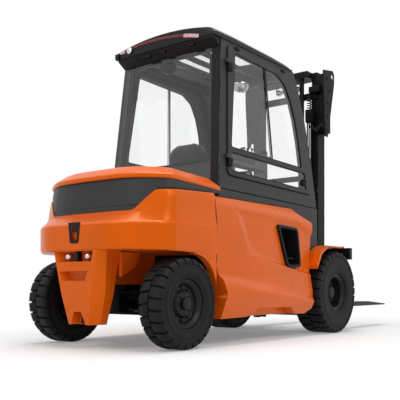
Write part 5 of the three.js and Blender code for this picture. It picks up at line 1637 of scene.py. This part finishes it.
def studio():
    scene = bpy.context.scene
    scene.view_settings.view_transform = "Standard"
    studio_world()
    studio_floor()
    studio_lamp("key_light", (-3.0, -6.5, 6.5), (0, 0, 1.2), (4.0, 3.0), 225)
    studio_lamp("rear_light", (-7.5, 0.5, 5.0), (-1.5, 0, 1.2), (3.0, 3.0), 60)
    studio_lamp("edge_light", (-7.0, 1.0, 6.5), (-1.5, 0, 1.0), (3.0, 0.8), 70)
    studio_lamp("top_light", (0.0, 0.0, 8.0), (0, 0, 0), (6.0, 4.0), 430)
    camera = bpy.data.cameras.new("camera")
    camera.lens = CAMERA_LENS
    camera.sensor_width = 36.0
    camera.shift_y = CAMERA_RISE
    camera.clip_end = 200.0
    holder = bpy.data.objects.new("camera", camera)
    holder.location = CAMERA_AT
    holder.rotation_euler = (math.radians(90), 0, math.radians(CAMERA_TURN))
    scene.collection.objects.link(holder)
    scene.camera = holder


# ---------------------------------------------------------------------------------------------
# Add-on
# ---------------------------------------------------------------------------------------------


class FORKLIFT_OT_finishes(bpy.types.Operator):
    """Makes the materials and puts them on the frame"""

    bl_idname = "forklift.finishes"
    bl_label = "Finishes"

    def execute(self, context):
        make_finishes()
        return {"FINISHED"}


class FORKLIFT_OT_counterweight(bpy.types.Operator):
    """Builds the counterweight casting and what sits in its pockets"""

    bl_idname = "forklift.counterweight"
    bl_label = "Counterweight"

    def execute(self, context):
        counterweight()
        tail_fittings()
        return {"FINISHED"}


class FORKLIFT_OT_hood(bpy.types.Operator):
    """Builds the dark rear band and the hood over it"""

    bl_idname = "forklift.hood"
    bl_label = "Rear band and hood"

    def execute(self, context):
        band_and_hood()
        return {"FINISHED"}


class FORKLIFT_OT_panels(bpy.types.Operator):
    """Finishes the side panels, steps and fenders"""

    bl_idname = "forklift.panels"
    bl_label = "Side panels"

    def execute(self, context):
        side_panels()
        return {"FINISHED"}


class FORKLIFT_OT_chassis(bpy.types.Operator):
    """Finishes the chassis, the axles and the tilt cylinders"""

    bl_idname = "forklift.chassis"
    bl_label = "Chassis and axles"

    def execute(self, context):
        chassis()
        return {"FINISHED"}


class FORKLIFT_OT_wheels(bpy.types.Operator):
    """Builds the treaded tyres and their rims"""

    bl_idname = "forklift.wheels"
    bl_label = "Wheels"

    def execute(self, context):
        wheels()
        return {"FINISHED"}


class FORKLIFT_OT_cab(bpy.types.Operator):
    """Finishes the cab frame and its windows"""

    bl_idname = "forklift.cab"
    bl_label = "Cab"

    def execute(self, context):
        cab_frame()
        cab_windows()
        return {"FINISHED"}


class FORKLIFT_OT_doors(bpy.types.Operator):
    """Builds the doors with their seals, sliding panes and handles"""

    bl_idname = "forklift.doors"
    bl_label = "Doors"

    def execute(self, context):
        doors()
        return {"FINISHED"}


class FORKLIFT_OT_roof(bpy.types.Operator):
    """Builds the roof shell, its lights and the fittings under it"""

    bl_idname = "forklift.roof"
    bl_label = "Roof"

    def execute(self, context):
        roof()
        roof_lights()
        headliner()
        return {"FINISHED"}


class FORKLIFT_OT_interior(bpy.types.Operator):
    """Builds the steering wheel, the seat and the lever console"""

    bl_idname = "forklift.interior"
    bl_label = "Driver's place"

    def execute(self, context):
        steering()
        seat()
        console()
        return {"FINISHED"}


class FORKLIFT_OT_mast(bpy.types.Operator):
    """Finishes the mast, its lift cylinders and chain pulleys"""

    bl_idname = "forklift.mast"
    bl_label = "Mast"

    def execute(self, context):
        mast()
        return {"FINISHED"}


class FORKLIFT_OT_carriage(bpy.types.Operator):
    """Finishes the fork carriage and the forks"""

    bl_idname = "forklift.carriage"
    bl_label = "Carriage and forks"

    def execute(self, context):
        carriage()
        return {"FINISHED"}


class FORKLIFT_OT_studio(bpy.types.Operator):
    """Sets up the floor, the light and the camera"""

    bl_idname = "forklift.studio"
    bl_label = "Floor, light and camera"

    def execute(self, context):
        studio()
        return {"FINISHED"}


STEPS = (FORKLIFT_OT_finishes, FORKLIFT_OT_counterweight, FORKLIFT_OT_hood, FORKLIFT_OT_panels,
         FORKLIFT_OT_chassis, FORKLIFT_OT_wheels, FORKLIFT_OT_cab, FORKLIFT_OT_doors, FORKLIFT_OT_roof,
         FORKLIFT_OT_interior, FORKLIFT_OT_mast, FORKLIFT_OT_carriage, FORKLIFT_OT_studio)


class FORKLIFT_PT_steps(bpy.types.Panel):
    """Lists the forklift's sizes, colours and building steps"""

    bl_label = "Electric forklift"
    bl_idname = "FORKLIFT_PT_steps"
    bl_space_type = "VIEW_3D"
    bl_region_type = "UI"
    bl_category = "Forklift"

    def draw(self, context):
        for group in (context.scene.forklift_colours, context.scene.forklift_sizes):
            for name in group.__annotations__:
                self.layout.prop(group, name)
        for step in STEPS:
            self.layout.operator(step.bl_idname)


CLASSES = (ForkliftColours, ForkliftSizes, *STEPS, FORKLIFT_PT_steps)


def register():
    for each in CLASSES:
        bpy.utils.register_class(each)
    bpy.types.Scene.forklift_colours = PointerProperty(type=ForkliftColours)
    bpy.types.Scene.forklift_sizes = PointerProperty(type=ForkliftSizes)


def unregister():
    del bpy.types.Scene.forklift_sizes
    del bpy.types.Scene.forklift_colours
    for each in reversed(CLASSES):
        bpy.utils.unregister_class(each)


def main():
    register()
    for step in STEPS:
        operators, name = step.bl_idname.split(".")
        getattr(getattr(bpy.ops, operators), name)()


if __name__ == "__main__":
    main()
